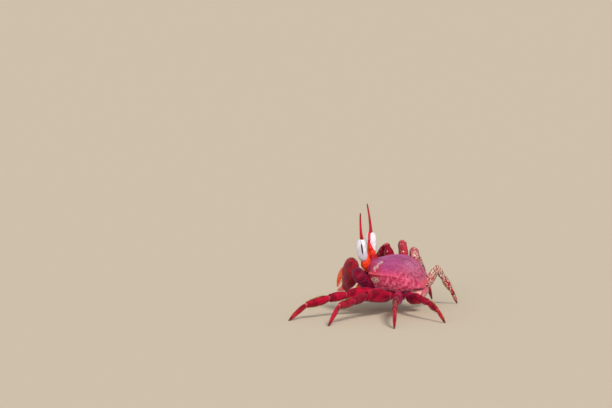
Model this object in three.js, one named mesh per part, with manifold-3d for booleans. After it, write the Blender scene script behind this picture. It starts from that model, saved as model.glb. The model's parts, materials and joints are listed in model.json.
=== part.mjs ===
// Red ghost crab (Ocypode macrocera), life size, standing half crouched: its left side is low with the
// legs spread flat, its right side is high with the knees above the shell, and both eyes are raised.
//
// Millimetres, +Z up. The crab faces -Y, its left side is +X, and it stands on Z = 0.
// Every segment of shell is a solid of its own, and a joint is a narrow gap between two solids.

import * as THREE from "three";
import { mergeVertices } from "three/addons/utils/BufferGeometryUtils.js";
import Module from "manifold-3d";

const wasm = await Module();
wasm.setup();

// ---------------------------------------------------------------- driving dimensions

const GAP = 0.34; // air between neighbouring solids
const FINEST = 0.04; // smallest step kept on a cut edge
const LEFT = 1;
const RIGHT = -1;
const SIDES = [
  ["left", LEFT],
  ["right", RIGHT],
];

const STANCE = {
  roll: 10, // degrees that the left side of the body hangs lower
  pitch: 4, // degrees that the nose is raised
  height: 28.5, // middle of the body above the ground
};

// The shell's length, width and heights are taken from the level of its side margins.
const SHELL = {
  width: 41,
  length: 36,
  crown: 5.3, // rise of the back above the margins
  flank: 14.2, // depth of the side walls
  chin: 15.8, // depth at the mouth
  hindWidth: 0.56, // width of the hind margin, as a share of the full width
  hindDrop: 9.6, // how much lower the hind margin is than the side margins
  rings: 20,
  sides: 42,
};

const FRONT = {
  sweep: 4.6, // how far the brow runs back from the beak to the corner
  beak: 1.2, // how far the beak between the eyes stands out
  corner: 2.2, // length of the tooth at each outer corner
  mouth: 8.2, // depth where the face starts to slope back
  mouthSlope: 0.75,
};

const SOCKET = { inner: 4.6, outer: 18, level: -3.6, high: 3.5, deep: 4.2 }; // eye sockets

const STERNUM = { front: -8, back: 13.5, halfWidth: 9.2, top: -13, bottom: -18.8 };

// Leans are in degrees: outwards is towards the crab's own left for the left eye and right for the right.
const EYE = {
  out: 4.9, // hinge from the midline
  forward: 18.2, // hinge ahead of the middle of the body
  level: -2,
  foot: 5.2, // thick lower part of the stalk
  cornea: 15.4,
  corneaWide: 6.8,
  corneaThick: 6.2,
  horn: 17.4, // the style above the eye
  ahead: 2.5, // forward lean of both eyes
};
const EYE_POSES = {
  left: { out: 20, hornOut: 12, hornAhead: -1 },
  right: { out: 0, hornOut: 0, hornAhead: 8 },
};

// Each hip is given by its place along the body. Lengths run from joint to joint.
const HIP = { out: 8.4, level: -15.2, reach: 8.4, rise: 0.4 };

const SEAT = 1.2; // how far each segment reaches back into the one before it
const TREAD = 0.5; // length of each foot that is cut off flat at the ground

// Angles of a leg: heading and rise of its first segment, fall of the short second one, then turn and
// drop of the claw it stands on. Headings are ahead of straight sideways.
const WALKING_LEGS = [
  {
    name: "1",
    hip: -5.6,
    merus: 23.5,
    carpus: 12,
    propodus: 18,
    dactylus: 16,
    deep: 9.2,
    left: { heading: 40, rise: 4, fall: 6, turn: 34, drop: 34 },
    right: { heading: 44, rise: 58, fall: 38, turn: 68, drop: 64 },
  },
  {
    name: "2",
    hip: -0.2,
    merus: 27,
    carpus: 13,
    propodus: 19.5,
    dactylus: 17.5,
    deep: 9.2,
    left: { heading: 13, rise: 6, fall: 7, turn: 10, drop: 40 },
    right: { heading: 28, rise: 56, fall: 28, turn: 14, drop: 66 },
  },
  {
    name: "3",
    hip: 5.2,
    merus: 26.5,
    carpus: 13,
    propodus: 19.5,
    dactylus: 17.5,
    deep: 9.2,
    left: { heading: -15, rise: 5, fall: 5, turn: -18, drop: 34 },
    right: { heading: 26, rise: 43, fall: 20, turn: -8, drop: 58 },
  },
  {
    name: "4",
    hip: 10.2,
    merus: 17.5,
    carpus: 8.5,
    propodus: 12,
    dactylus: 11.5,
    deep: 7.4,
    left: { heading: -44, rise: 5, fall: 5, turn: -50, drop: 38 },
    right: { heading: -6, rise: 28, fall: 44, turn: -20, drop: 58 },
  },
];

// The left claw is the big one. Hips are on the body. Elbows, wrists and aims are in the standing crab,
// from the middle of the body.
const CLAWS = [
  {
    side: "left",
    hip: [9, -10.4, -13.6],
    elbow: [21.2, -17.2, -6.2],
    wrist: [15.8, -22.6, -1.4],
    aim: [-0.74, -0.59, -0.32], // the way the palm points from the wrist
    roll: 6,
    palm: 20,
    finger: 18,
    deep: 18.8,
    thick: 9,
    arm: 8.4,
  },
  {
    side: "right",
    hip: [-9, -10.4, -13.6],
    elbow: [-17.5, -19, -7.5],
    wrist: [-14, -24.6, -5.6],
    aim: [0.75, -0.15, -0.64],
    roll: -10,
    palm: 12.6,
    finger: 12,
    deep: 9.6,
    thick: 5.2,
    arm: 5.6,
  },
];

// ---------------------------------------------------------------- colours

const paint = (color, roughness) => new THREE.MeshStandardMaterial({ color, roughness, metalness: 0 });
const MATERIALS = {
  shell: paint(0xa8386a, 0.5),
  belly: paint(0xd08a78, 0.55),
  limb: paint(0xb0182c, 0.45),
  claw: paint(0x86101f, 0.42),
  fingertip: paint(0xe2500f, 0.4),
  stalk: paint(0xd02408, 0.35),
  cornea: paint(0xe4e4ea, 0.12),
  style: paint(0xa80a1e, 0.35),
};

// ---------------------------------------------------------------- small mathematics

const radians = THREE.MathUtils.degToRad;
const mix = THREE.MathUtils.lerp;
const ease = THREE.MathUtils.smoothstep; // ease(x, from, to)
const vector = (x, y, z) => new THREE.Vector3(x, y, z);
const hump = (x, from, to, soft) => ease(x, from - soft, from + soft) * (1 - ease(x, to - soft, to + soft));
const power = (x, exponent) => Math.sign(x) * Math.abs(x) ** exponent;

// The body leans as one piece about its middle.
const bodyMatrix = new THREE.Matrix4()
  .makeRotationY(radians(STANCE.roll))
  .multiply(new THREE.Matrix4().makeRotationX(radians(-STANCE.pitch)));
const onBody = (x, y, z) => vector(x, y, z).applyMatrix4(bodyMatrix);

// ---------------------------------------------------------------- from geometry to solids and back

function toSolid(geometry) {
  const bare = geometry.clone();
  bare.deleteAttribute("normal");
  bare.deleteAttribute("uv");
  const merged = mergeVertices(bare, 1e-4);
  const mesh = new wasm.Mesh({
    numProp: 3,
    vertProperties: merged.attributes.position.array,
    triVerts: new Uint32Array(merged.index.array),
  });
  return new wasm.Manifold(mesh);
}

function toGeometry(solid) {
  const { vertProperties, triVerts, numProp } = solid.getMesh();
  const positions = new Float32Array((vertProperties.length / numProp) * 3);
  for (let i = 0; i < positions.length / 3; i++) {
    positions.set(vertProperties.subarray(i * numProp, i * numProp + 3), i * 3);
  }
  const geometry = new THREE.BufferGeometry();
  geometry.setAttribute("position", new THREE.BufferAttribute(positions, 3));
  geometry.setIndex(new THREE.BufferAttribute(triVerts, 1));
  return geometry;
}

// A cut can leave crumbs and needle-thin faces behind, so the largest body is kept and tidied.
function largest(solid) {
  return solid.decompose().reduce((a, b) => (b.volume() > a.volume() ? b : a)).simplify(FINEST);
}

// Moves every vertex of a geometry to where the function says.
function reshape(geometry, place) {
  const position = geometry.attributes.position;
  for (let i = 0; i < position.count; i++) {
    const moved = place(position.getX(i), position.getY(i), position.getZ(i));
    position.setXYZ(i, moved.x, moved.y, moved.z);
  }
  return geometry;
}

// A turned blank of radius 1 from height 0 to 1. blunt is the power of its rounded ends.
function blank(stations, sides, bluntStart, bluntEnd) {
  const profile = stations.map((h) => {
    const blunt = h < 0.5 ? bluntStart : bluntEnd;
    return new THREE.Vector2((1 - Math.abs(2 * h - 1) ** blunt) ** (1 / blunt), h);
  });
  return new THREE.LatheGeometry(profile, sides);
}

// Heights that crowd towards both ends, where the blank rounds off.
function crowdedStations(steps) {
  const stations = [];
  for (let i = 0; i <= steps; i++) stations.push((1 - Math.cos((Math.PI * i) / steps)) / 2);
  return stations;
}

// A limb follows a curve. wide is its half size across the bend, in the plane of the limb, and thick the
// half size square to that plane. Both are functions of the share of the length, as is lift, which moves
// the middle of the section. grow makes the same limb a little larger all round, for cutting neighbours.
function limb(spec, grow = 0) {
  const { curve, across, wide, thick, lift = () => 0, sides = 10, steps = 8 } = spec;
  const { bluntStart = 5, bluntEnd = 5, stations = crowdedStations(steps) } = spec;
  return toSolid(
    reshape(blank(stations, sides, bluntStart, bluntEnd), (x, h, z) => {
      const share = THREE.MathUtils.clamp(h, 0, 1);
      const along = curve.getTangentAt(share);
      const up = vector().crossVectors(along, across).normalize();
      const side = vector().crossVectors(up, along).normalize();
      const radius = Math.hypot(x, z);
      const angle = Math.atan2(x, z);
      const u = radius * Math.cos(angle) * (thick(share) + grow);
      const v = radius * Math.sin(angle) * (wide(share) + grow);
      return curve
        .getPointAt(share)
        .addScaledVector(along, grow * (2 * h - 1))
        .addScaledVector(side, u)
        .addScaledVector(up, v + lift(share));
    }),
  );
}

// A soft curve of sizes through evenly spaced values.
function through(...values) {
  const spline = new THREE.SplineCurve(values.map((v, i) => new THREE.Vector2(i / (values.length - 1), v)));
  return (share) => spline.getPoint(share).y;
}

const scaled = (sizes, factor) => (share) => sizes(share) * factor;

// ---------------------------------------------------------------- the list of pieces

const pieces = new Map();

function keep(name, solid, material) {
  pieces.set(name, { solid, material });
}

// ---------------------------------------------------------------- shell of the body

// Half width of the shell at a place along it, from -1 at the front to 1 at the hind margin.
function shellHalfWidth(v) {
  const half = SHELL.width / 2;
  const front = 0.035 * ease(-v, 0.4, 1);
  const hind = (1 - SHELL.hindWidth) * Math.max(0, (v + 0.25) / 1.25) ** 2.3;
  return half * (1 - front - hind);
}

// Rise of the back and depth of the side walls from the margins, and fall of the margins, at such a place.
const shellCrown = (v) => SHELL.crown * (1 - 0.45 * ease(-v, 0.2, 1) - 0.35 * ease(v, 0.1, 1));
const marginDrop = (v) => SHELL.hindDrop * Math.max(0, (v + 0.1) / 1.1) ** 2.1;

function shellBottom(v) {
  const deepest = mix(SHELL.flank, SHELL.chin, hump(v, -1.2, -0.42, 0.16));
  return deepest * (1 - 0.55 * ease(v, 0.2, 1));
}

// How far the front of the shell is set back at a place on it: the brow that sweeps back from the beak
// between the eyes, the corners that point forwards, and the slope from mouth to chin.
function frontSetBack(x, z) {
  const away = Math.abs(x);
  const brow = FRONT.sweep * ease(away, 3, 17) ** 1.4;
  const beak = -FRONT.beak * (1 - ease(away, 1.4, 4)) * hump(z, -6, 4, 1.5);
  const corner = -FRONT.corner * ease(away, 16.6, 19.6) * hump(z, -3, 2.5, 1.5);
  const chin = FRONT.mouthSlope * Math.max(0, -z - FRONT.mouth);
  return brow + beak + corner + chin;
}

// The hollow that an eye folds into, along the front edge from the beak to the corner.
function socketScoop(side) {
  const middle = (SOCKET.inner + SOCKET.outer) / 2;
  return limb({
    curve: new THREE.QuadraticBezierCurve3(
      onBody(side * SOCKET.inner, -19, SOCKET.level),
      onBody(side * middle, -18.6, SOCKET.level),
      onBody(side * SOCKET.outer, -14.2, SOCKET.level + 0.5),
    ),
    across: onBody(0, 1, 0),
    wide: () => SOCKET.high,
    thick: () => SOCKET.deep,
    sides: 12,
    steps: 7,
    bluntStart: 3,
    bluntEnd: 2.6,
  });
}

// The shell is turned about its long axis, with a blunt front and a rounder back, and then given its crown,
// side walls, sharp side margins and face.
function shellOutline() {
  const dense = [];
  for (let i = 0; i <= 200; i++) {
    const angle = (Math.PI * i) / 200;
    const blunt = i < 100 ? 6 : 2.6;
    const radius = power(Math.sin(angle), 2 / blunt);
    dense.push(new THREE.Vector2(radius, -power(Math.cos(angle), 2 / blunt)));
  }
  const outline = new THREE.SplineCurve(dense).getSpacedPoints(SHELL.rings);
  outline[0].set(0, -1);
  outline[SHELL.rings].set(0, 1);
  return outline;
}

function shellSolid(grow = 0) {
  return toSolid(
    reshape(new THREE.LatheGeometry(shellOutline(), SHELL.sides), (x, v, z) => {
      const radius = Math.hypot(x, z);
      const angle = Math.atan2(z, x);
      const isTop = Math.sin(angle) >= 0;
      const marginPower = mix(1.55, 2, ease(v, 0.1, 0.9)); // sharp side margins that fade behind
      const squareness = isTop ? marginPower : 3.2;
      const high = (isTop ? shellCrown(v) : shellBottom(v)) + grow;
      const across = radius * (shellHalfWidth(v) + grow) * power(Math.cos(angle), 2 / squareness);
      const up = radius * high * power(Math.sin(angle), 2 / squareness);
      const tuck = isTop ? 1 : 1 + (0.24 * up) / high; // the side walls slope in towards the belly
      const place = vector(across * tuck, (SHELL.length / 2 + grow) * v, up - marginDrop(v));
      place.y += ease(-v, 0.62, 0.97) * frontSetBack(place.x, place.z);
      return place.applyMatrix4(bodyMatrix);
    }),
  );
}

function sternumSolid(grow = 0) {
  const { front, back, halfWidth, top, bottom } = STERNUM;
  return toSolid(
    reshape(blank(crowdedStations(8), 14, 3, 3), (x, h, z) => {
      const width = (halfWidth + grow) * mix(1, 0.72, ease(h, 0.3, 1));
      const height = (z > 0 ? 0.9 : 1) * ((top - bottom) / 2 + grow);
      return onBody(x * width, mix(front - grow, back + grow, h), (top + bottom) / 2 + z * height);
    }),
  );
}

// The tail flap is folded forwards under the body, in the middle of the belly.
const flapCurve = new THREE.CatmullRomCurve3([
  onBody(0, 19, -11.6),
  onBody(0, 18.9, -16.2),
  onBody(0, 14.2, -19.9),
  onBody(0, 6, -20.2),
  onBody(0, -4.5, -20.2),
]);
const flap = {
  curve: flapCurve,
  across: onBody(1, 0, 0),
  thick: through(6.6, 6.2, 5.6, 4.8, 3.4, 2.6, 1.6),
  wide: () => 0.75,
  sides: 8,
  steps: 10,
  bluntStart: 6,
};

// Two doors of shell close the mouth.
function mouthDoor(side) {
  return {
    curve: new THREE.LineCurve3(onBody(side * 3.7, -19, -8.6), onBody(side * 3.6, -13.8, -16)),
    across: onBody(1, 0, 0),
    thick: through(3, 3.2, 3.2, 2.6),
    wide: () => 1.2,
    sides: 8,
    steps: 6,
    bluntStart: 6,
  };
}

function feeler(side) {
  return {
    curve: new THREE.QuadraticBezierCurve3(
      onBody(side * 2.6, -19.3, -4.6),
      onBody(side * 3.4, -21.2, -4.2),
      onBody(side * 4.6, -22.6, -5.4),
    ),
    across: onBody(0, 0, 1),
    thick: through(0.7, 0.5, 0.4, 0.3),
    wide: through(0.7, 0.5, 0.4, 0.3),
    sides: 6,
    steps: 5,
  };
}

// ---------------------------------------------------------------- eyes

// Unit vector that leans outwards and ahead of straight up.
function uprightWay(side, out, ahead) {
  return vector(side * Math.tan(radians(out)), -Math.tan(radians(ahead)), 1).normalize();
}

function eye(side, pose) {
  const upright = uprightWay(side, pose.out, EYE.ahead);
  const hinge = onBody(side * EYE.out, -EYE.forward, EYE.level);
  const forward = vector(0, -1, 0).addScaledVector(upright, upright.y).normalize();
  const outward = vector().crossVectors(forward, upright).multiplyScalar(-side).normalize();
  const at = (up, out, ahead) =>
    hinge
      .clone()
      .addScaledVector(upright, up)
      .addScaledVector(outward, out)
      .addScaledVector(forward, ahead);
  const top = EYE.foot + EYE.cornea;
  const stalk = {
    curve: new THREE.CatmullRomCurve3([
      at(-1, 0, -1.4),
      at(EYE.foot * 0.5, 0.2, -0.2),
      at(EYE.foot + 1, -0.6, 0.9),
      at(EYE.foot + EYE.cornea * 0.5, -1.9, 1.2),
      at(top - 1.4, -1.2, 1.2),
      at(top + 0.6, -0.3, 1.2),
    ]),
    across: outward,
    thick: through(2.3, 2.6, 2.4, 1.5, 1.15, 1.1, 1.0),
    wide: through(2.6, 3.0, 2.8, 2.0, 1.35, 1.1, 1.1),
    sides: 8,
    steps: 8,
  };
  const cornea = {
    curve: new THREE.LineCurve3(at(EYE.foot, 0.9, 1.2), at(top, 0.3, 1.2)),
    across: outward,
    thick: () => EYE.corneaThick / 2,
    wide: () => EYE.corneaWide / 2,
    sides: 12,
    steps: 8,
    bluntStart: 2.3,
    bluntEnd: 2.5,
  };
  const foot = at(top - 0.4, -0.3, 1.2);
  const hornWay = uprightWay(side, pose.hornOut, pose.hornAhead);
  const style = {
    curve: new THREE.QuadraticBezierCurve3(
      foot,
      foot.clone().addScaledVector(upright, EYE.horn * 0.4),
      foot.clone().addScaledVector(hornWay, EYE.horn),
    ),
    across: outward,
    thick: through(1.4, 1.15, 0.9, 0.65, 0.42),
    wide: through(1.45, 1.15, 0.9, 0.65, 0.42),
    sides: 7,
    steps: 6,
    bluntStart: 6,
  };
  return { stalk, cornea, style };
}

// ---------------------------------------------------------------- walking legs

// Unit vector of a leg segment, by its heading ahead of straight sideways and its rise.
function legWay(side, heading, rise) {
  const turn = radians(heading);
  const lift = radians(rise);
  return vector(side * Math.cos(turn) * Math.cos(lift), -Math.sin(turn) * Math.cos(lift), Math.sin(lift));
}

// The flat sides of a leg stand upright, so it is thin along this direction.
function legAcross(side, heading) {
  return legWay(side, heading - 90, 0);
}

function walkingLeg(side, plan, pose) {
  const ground = -STANCE.height;
  const midTurn = (pose.heading + pose.turn) / 2;
  const hip = onBody(side * HIP.out, plan.hip, HIP.level);
  const socket = onBody(side * (HIP.out + HIP.reach), plan.hip + hipFan(plan.hip), HIP.level + HIP.rise);
  const knee = socket.clone().addScaledVector(legWay(side, pose.heading, pose.rise), plan.merus);
  const ankle = knee.clone().addScaledVector(legWay(side, midTurn, -pose.fall), plan.carpus);

  // The long fourth segment slopes just enough for the tip to reach the ground.
  const tipWay = legWay(side, pose.turn, -pose.drop);
  const heelHeight = ground - tipWay.z * plan.dactylus;
  const slope = THREE.MathUtils.radToDeg(Math.asin((ankle.z - heelHeight) / plan.propodus));
  const heel = ankle.clone().addScaledVector(legWay(side, pose.turn, -slope), plan.propodus);
  const tip = heel.clone().addScaledVector(tipWay, plan.dactylus + TREAD);

  const deep = plan.deep / 2;
  const middle = socket.clone().lerp(knee, 0.5).add(vector(0, 0, plan.merus * 0.025));
  const bow = heel.clone().lerp(tip, 0.5).add(vector(0, 0, plan.dactylus * 0.06));
  const lower = legAcross(side, pose.turn);
  return {
    merus: {
      curve: new THREE.CatmullRomCurve3([hip, socket, middle, knee], false, "centripetal"),
      across: legAcross(side, pose.heading),
      wide: scaled(through(0.52, 0.6, 0.72, 0.95, 1.0, 0.98, 0.9, 0.74), deep),
      thick: scaled(through(0.5, 0.55, 0.5, 0.52, 0.56, 0.56, 0.54, 0.52), deep),
      steps: 8,
    },
    carpus: {
      curve: new THREE.LineCurve3(reachBack(knee, ankle), ankle),
      across: legAcross(side, midTurn),
      wide: scaled(through(0.5, 0.62, 0.68, 0.66, 0.58), deep),
      thick: scaled(through(0.42, 0.48, 0.5, 0.48, 0.42), deep),
      sides: 8,
      steps: 5,
    },
    propodus: {
      curve: new THREE.LineCurve3(reachBack(ankle, heel), heel),
      across: lower,
      wide: scaled(through(0.46, 0.58, 0.6, 0.54, 0.44), deep),
      thick: scaled(through(0.34, 0.38, 0.38, 0.35, 0.31), deep),
      sides: 8,
      steps: 5,
    },
    dactylus: {
      curve: new THREE.QuadraticBezierCurve3(reachBack(heel, bow), bow, tip),
      across: lower,
      wide: scaled(through(0.36, 0.42, 0.38, 0.3, 0.13), deep),
      thick: scaled(through(0.28, 0.29, 0.26, 0.2, 0.11), deep),
      sides: 8,
      steps: 5,
    },
  };
}

// The point a little behind a joint, where the next segment starts inside the one before.
function reachBack(joint, next) {
  return joint.clone().addScaledVector(joint.clone().sub(next).normalize(), SEAT);
}

// The hips fan out: the first leg's reaches forwards and the last leg's backwards.
function hipFan(hip) {
  return mix(-2.2, 3.2, (hip + 5.6) / 15.8);
}

// ---------------------------------------------------------------- claws

function claw(plan) {
  const [hip, elbow, wrist] = [plan.hip, plan.elbow, plan.wrist].map((p) => vector(...p));
  hip.applyMatrix4(bodyMatrix);
  const aim = vector(...plan.aim).normalize();
  const upright = vector(0, 0, 1).addScaledVector(aim, -aim.z).normalize();
  upright.applyAxisAngle(aim, radians(plan.roll));
  const across = vector().crossVectors(upright, aim).normalize();
  const at = (along, up) => wrist.clone().addScaledVector(aim, along).addScaledVector(upright, up);
  const length = plan.palm + plan.finger;
  const deep = plan.deep / 2;
  const hingeShare = plan.palm / length;

  // Upper and lower edge of the palm and its fixed finger, in shares of half the palm's depth.
  const palmTop = through(0.5, 0.9, 1.08, 1.12, 1.02, 0.8);
  const palmFoot = through(-0.42, -0.7, -0.86, -0.92, -0.92, -0.86);
  const fingerTop = through(-0.3, -0.42, -0.48, -0.46);
  const fingerFoot = through(-0.92, -0.8, -0.68, -0.56);
  const top = (share) =>
    share <= hingeShare ? palmTop(share / hingeShare) : fingerTop((share - hingeShare) / (1 - hingeShare));
  const foot = (share) =>
    share <= hingeShare ? palmFoot(share / hingeShare) : fingerFoot((share - hingeShare) / (1 - hingeShare));
  const palmRings = [0, 0.01, 0.04, 0.1, 0.2, 0.35, 0.55, 0.75, 0.9, 1].map((s) => s * hingeShare);
  const fingerRings = [0.07, 0.25, 0.45, 0.65, 0.82, 0.94, 0.985, 1].map((s) => mix(hingeShare, 1, s));

  return {
    merus: {
      curve: new THREE.QuadraticBezierCurve3(hip, hip.clone().lerp(elbow, 0.5).add(vector(0, 0, 0.8)), elbow),
      across: vector(0, 0, 1).cross(elbow.clone().sub(hip)).normalize(),
      wide: scaled(through(0.7, 0.9, 1.05, 1.1, 0.9), plan.arm / 2),
      thick: scaled(through(0.7, 0.85, 0.95, 0.95, 0.85), plan.arm / 2),
      steps: 8,
    },
    carpus: {
      curve: new THREE.LineCurve3(reachBack(elbow, wrist), wrist),
      across,
      wide: scaled(through(0.8, 1.1, 1.18, 1.05, 0.8), plan.arm / 2),
      thick: scaled(through(0.75, 1.0, 1.08, 1.0, 0.75), plan.arm / 2),
      steps: 6,
      bluntStart: 3,
      bluntEnd: 3,
    },
    palm: {
      curve: new THREE.LineCurve3(at(0, 0), at(length, 0)),
      across,
      wide: (share) => (deep * (top(share) - foot(share))) / 2,
      lift: (share) => (deep * (top(share) + foot(share))) / 2,
      thick: scaled(through(0.5, 0.9, 1.0, 0.92, 0.62, 0.46, 0.36, 0.24, 0.12), plan.thick / 2),
      stations: [...palmRings, ...fingerRings],
      sides: plan.deep > 12 ? 12 : 10,
      bluntStart: 5,
      bluntEnd: 12,
    },
    finger: {
      curve: new THREE.QuadraticBezierCurve3(
        at(plan.palm - 1, deep * 0.34),
        at(plan.palm + plan.finger * 0.6, deep * 0.72),
        at(plan.palm + plan.finger, -deep * 0.34),
      ),
      across,
      wide: scaled(through(0.46, 0.42, 0.34, 0.24, 0.1), deep),
      thick: scaled(through(0.5, 0.56, 0.48, 0.34, 0.14), plan.thick / 2),
      sides: 10,
      steps: 9,
    },
  };
}

// ---------------------------------------------------------------- assembly

const shellGrown = shellSolid(GAP);
const sternumGrown = sternumSolid(GAP);

const hollowed = shellSolid().subtract(socketScoop(LEFT)).subtract(socketScoop(RIGHT));
keep("carapace", largest(hollowed), MATERIALS.shell);
keep("sternum", largest(sternumSolid().subtract(shellGrown)), MATERIALS.belly);
keep("tail_flap", largest(limb(flap).subtract(shellGrown).subtract(sternumGrown)), MATERIALS.belly);

for (const [word, side] of SIDES) {
  keep(`mouth_door_${word}`, largest(limb(mouthDoor(side)).subtract(shellGrown)), MATERIALS.belly);
  keep(`feeler_${word}`, largest(limb(feeler(side)).subtract(shellGrown)), MATERIALS.stalk);

  const { stalk, cornea, style } = eye(side, EYE_POSES[word]);
  keep(`eye_stalk_${word}`, largest(limb(stalk).subtract(shellGrown)), MATERIALS.stalk);
  keep(`eye_cornea_${word}`, largest(limb(cornea).subtract(limb(stalk, GAP))), MATERIALS.cornea);
  const horn = limb(style).subtract(limb(cornea, GAP)).subtract(limb(stalk, GAP));
  keep(`eye_style_${word}`, largest(horn), MATERIALS.style);
}

// Each segment is cut by the one before it, so that a bent joint fits without touching.
function keepChain(prefix, segments, names, materials) {
  let before = null;
  names.forEach((name, i) => {
    const spec = segments[name];
    let solid = limb(spec).subtract(shellGrown).subtract(sternumGrown);
    if (before) solid = solid.subtract(limb(before, GAP));
    keep(`${prefix}_${name}`, largest(solid), materials[i]);
    before = spec;
  });
}

const clawColours = [MATERIALS.limb, MATERIALS.claw, MATERIALS.claw, MATERIALS.fingertip];
for (const plan of CLAWS) {
  keepChain(`claw_${plan.side}`, claw(plan), ["merus", "carpus", "palm", "finger"], clawColours);
}

// The tips of the walking legs are cut flat where they meet the ground.
const groundBlock = toSolid(new THREE.BoxGeometry(400, 400, 20).translate(0, 0, -STANCE.height - 10));
const legSegments = ["merus", "carpus", "propodus", "dactylus"];
const legColours = legSegments.map(() => MATERIALS.limb);
for (const plan of WALKING_LEGS) {
  for (const [word, side] of SIDES) {
    const segments = walkingLeg(side, plan, plan[word]);
    keepChain(`leg_${word}_${plan.name}`, segments, legSegments, legColours);
    const foot = pieces.get(`leg_${word}_${plan.name}_dactylus`);
    foot.solid = largest(foot.solid.subtract(groundBlock));
  }
}

// ---------------------------------------------------------------- the exported crab

const crab = new THREE.Group();
for (const [name, { solid, material }] of pieces) {
  const mesh = new THREE.Mesh(toGeometry(solid), material);
  mesh.name = name;
  crab.add(mesh);
}

// The origin is under the middle of the whole crab, on the ground.
const reach = new THREE.Box3().setFromObject(crab);
const middle = reach.getCenter(vector());
crab.position.set(-middle.x, -middle.y, STANCE.height);

export default crab;
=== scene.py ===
# %% [markdown]
# # A red ghost crab, life size
#
# A ghost crab is built of hard plates that meet at soft joints: one big shield over the body, two stalked
# eyes, two claws and eight walking legs. The solids of the frame hold the true sizes and the pose. Each
# lesson below takes one kind of plate, measures its solid, and models a finer plate over it.

import json
import math

import bmesh
import bpy
import numpy as np
from mathutils import Matrix, Vector

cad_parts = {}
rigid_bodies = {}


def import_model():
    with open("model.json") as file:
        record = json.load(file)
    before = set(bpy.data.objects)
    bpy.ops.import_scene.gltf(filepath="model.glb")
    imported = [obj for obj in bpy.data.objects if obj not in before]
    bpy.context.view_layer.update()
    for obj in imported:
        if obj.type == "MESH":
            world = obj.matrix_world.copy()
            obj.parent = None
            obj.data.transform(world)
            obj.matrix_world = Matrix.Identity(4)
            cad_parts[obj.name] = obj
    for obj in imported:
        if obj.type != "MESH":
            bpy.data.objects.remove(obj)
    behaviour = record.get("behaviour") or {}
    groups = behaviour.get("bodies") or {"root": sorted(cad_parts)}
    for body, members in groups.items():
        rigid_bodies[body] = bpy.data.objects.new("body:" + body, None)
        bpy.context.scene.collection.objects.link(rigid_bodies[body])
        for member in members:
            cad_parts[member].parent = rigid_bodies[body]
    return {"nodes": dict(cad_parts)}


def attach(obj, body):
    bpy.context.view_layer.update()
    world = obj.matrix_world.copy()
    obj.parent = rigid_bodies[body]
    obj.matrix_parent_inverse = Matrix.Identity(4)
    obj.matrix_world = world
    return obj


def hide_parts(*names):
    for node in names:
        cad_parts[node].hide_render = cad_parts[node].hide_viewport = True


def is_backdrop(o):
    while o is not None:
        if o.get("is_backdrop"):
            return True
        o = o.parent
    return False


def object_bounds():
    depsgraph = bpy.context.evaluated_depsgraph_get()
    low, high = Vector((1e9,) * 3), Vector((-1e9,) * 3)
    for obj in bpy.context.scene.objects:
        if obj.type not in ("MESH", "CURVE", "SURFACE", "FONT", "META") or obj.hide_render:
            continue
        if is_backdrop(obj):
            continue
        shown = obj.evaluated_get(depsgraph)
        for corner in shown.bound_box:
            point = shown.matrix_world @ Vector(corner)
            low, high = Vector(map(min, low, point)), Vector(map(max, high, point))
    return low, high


for thing in list(bpy.data.objects):
    bpy.data.objects.remove(thing)
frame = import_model()
solid_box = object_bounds()
MM = 0.001
SIDES = {"left": 1, "right": -1}
print("solids:", len(frame["nodes"]))

# %% [markdown]
# ## Where the body is
#
# The whole body leans a little: its left side hangs lower and its nose is raised. Many plates are easiest
# to describe level, so the first helper turns a level place, in millimetres from the middle of the body,
# into its real place. The middle is found from the shell's own solid, turned back level.

# %% The lean of the body
ROLL, PITCH = 10, -4
LEAN = np.array(Matrix.Rotation(math.radians(ROLL), 3, "Y") @ Matrix.Rotation(math.radians(PITCH), 3, "X"))
SHELL_LENGTH = 36
BODY_HEIGHT = 28.5


def places_of(piece):
    places = np.empty(len(piece.data.vertices) * 3)
    piece.data.vertices.foreach_get("co", places)
    return places.reshape(-1, 3)


def triangles_of(piece):
    """The triangles of a piece, as an array of triangles x 3 corners x 3 numbers, in metres."""
    piece.data.calc_loop_triangles()
    index = np.empty(len(piece.data.loop_triangles) * 3, int)
    piece.data.loop_triangles.foreach_get("vertices", index)
    return places_of(piece)[index].reshape(-1, 3, 3)


level_shell = places_of(frame["nodes"]["carapace"]) @ LEAN
middle_x = (level_shell[:, 0].min() + level_shell[:, 0].max()) / 2
middle_y = level_shell[:, 1].max() - SHELL_LENGTH / 2 * MM
middle_z = (BODY_HEIGHT * MM - LEAN[2, 0] * middle_x - LEAN[2, 1] * middle_y) / LEAN[2, 2]
BODY = LEAN @ np.array([middle_x, middle_y, middle_z])


def on_body(points):
    """Real places, in metres, of places in the level body, in millimetres."""
    return BODY + np.asarray(points, float) @ LEAN.T * MM


def in_body(points):
    """The way back: millimetres in the level body of real places."""
    return (np.asarray(points) - BODY) @ LEAN / MM


print("middle of the body, mm:", np.round(BODY / MM, 2))

# %% [markdown]
# ## The camera
#
# A long lens, far away and low, looks across the crab's left side. It stays level, and the crab sits low
# and to the right in its picture. It is made first, so that every later step can be looked at.

# %% The camera
CAMERA_AZIMUTH = math.radians(110)
CAMERA_ELEVATION = math.radians(6)
CAMERA_DISTANCE = 4.25
LENS = 400
LEFT_OF_BODY, OVER_BODY = 57.8, 39.1
FARTHEST_SEEN = 60

east, north = math.cos(CAMERA_AZIMUTH), math.sin(CAMERA_AZIMUTH)
level_part = math.cos(CAMERA_ELEVATION)
to_right = Vector((east, north, 0))
looks_along = Vector((-north * level_part, east * level_part, -math.sin(CAMERA_ELEVATION)))
to_top = to_right.cross(looks_along)
aim = Vector(BODY) - to_right * LEFT_OF_BODY * MM + to_top * OVER_BODY * MM

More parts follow.
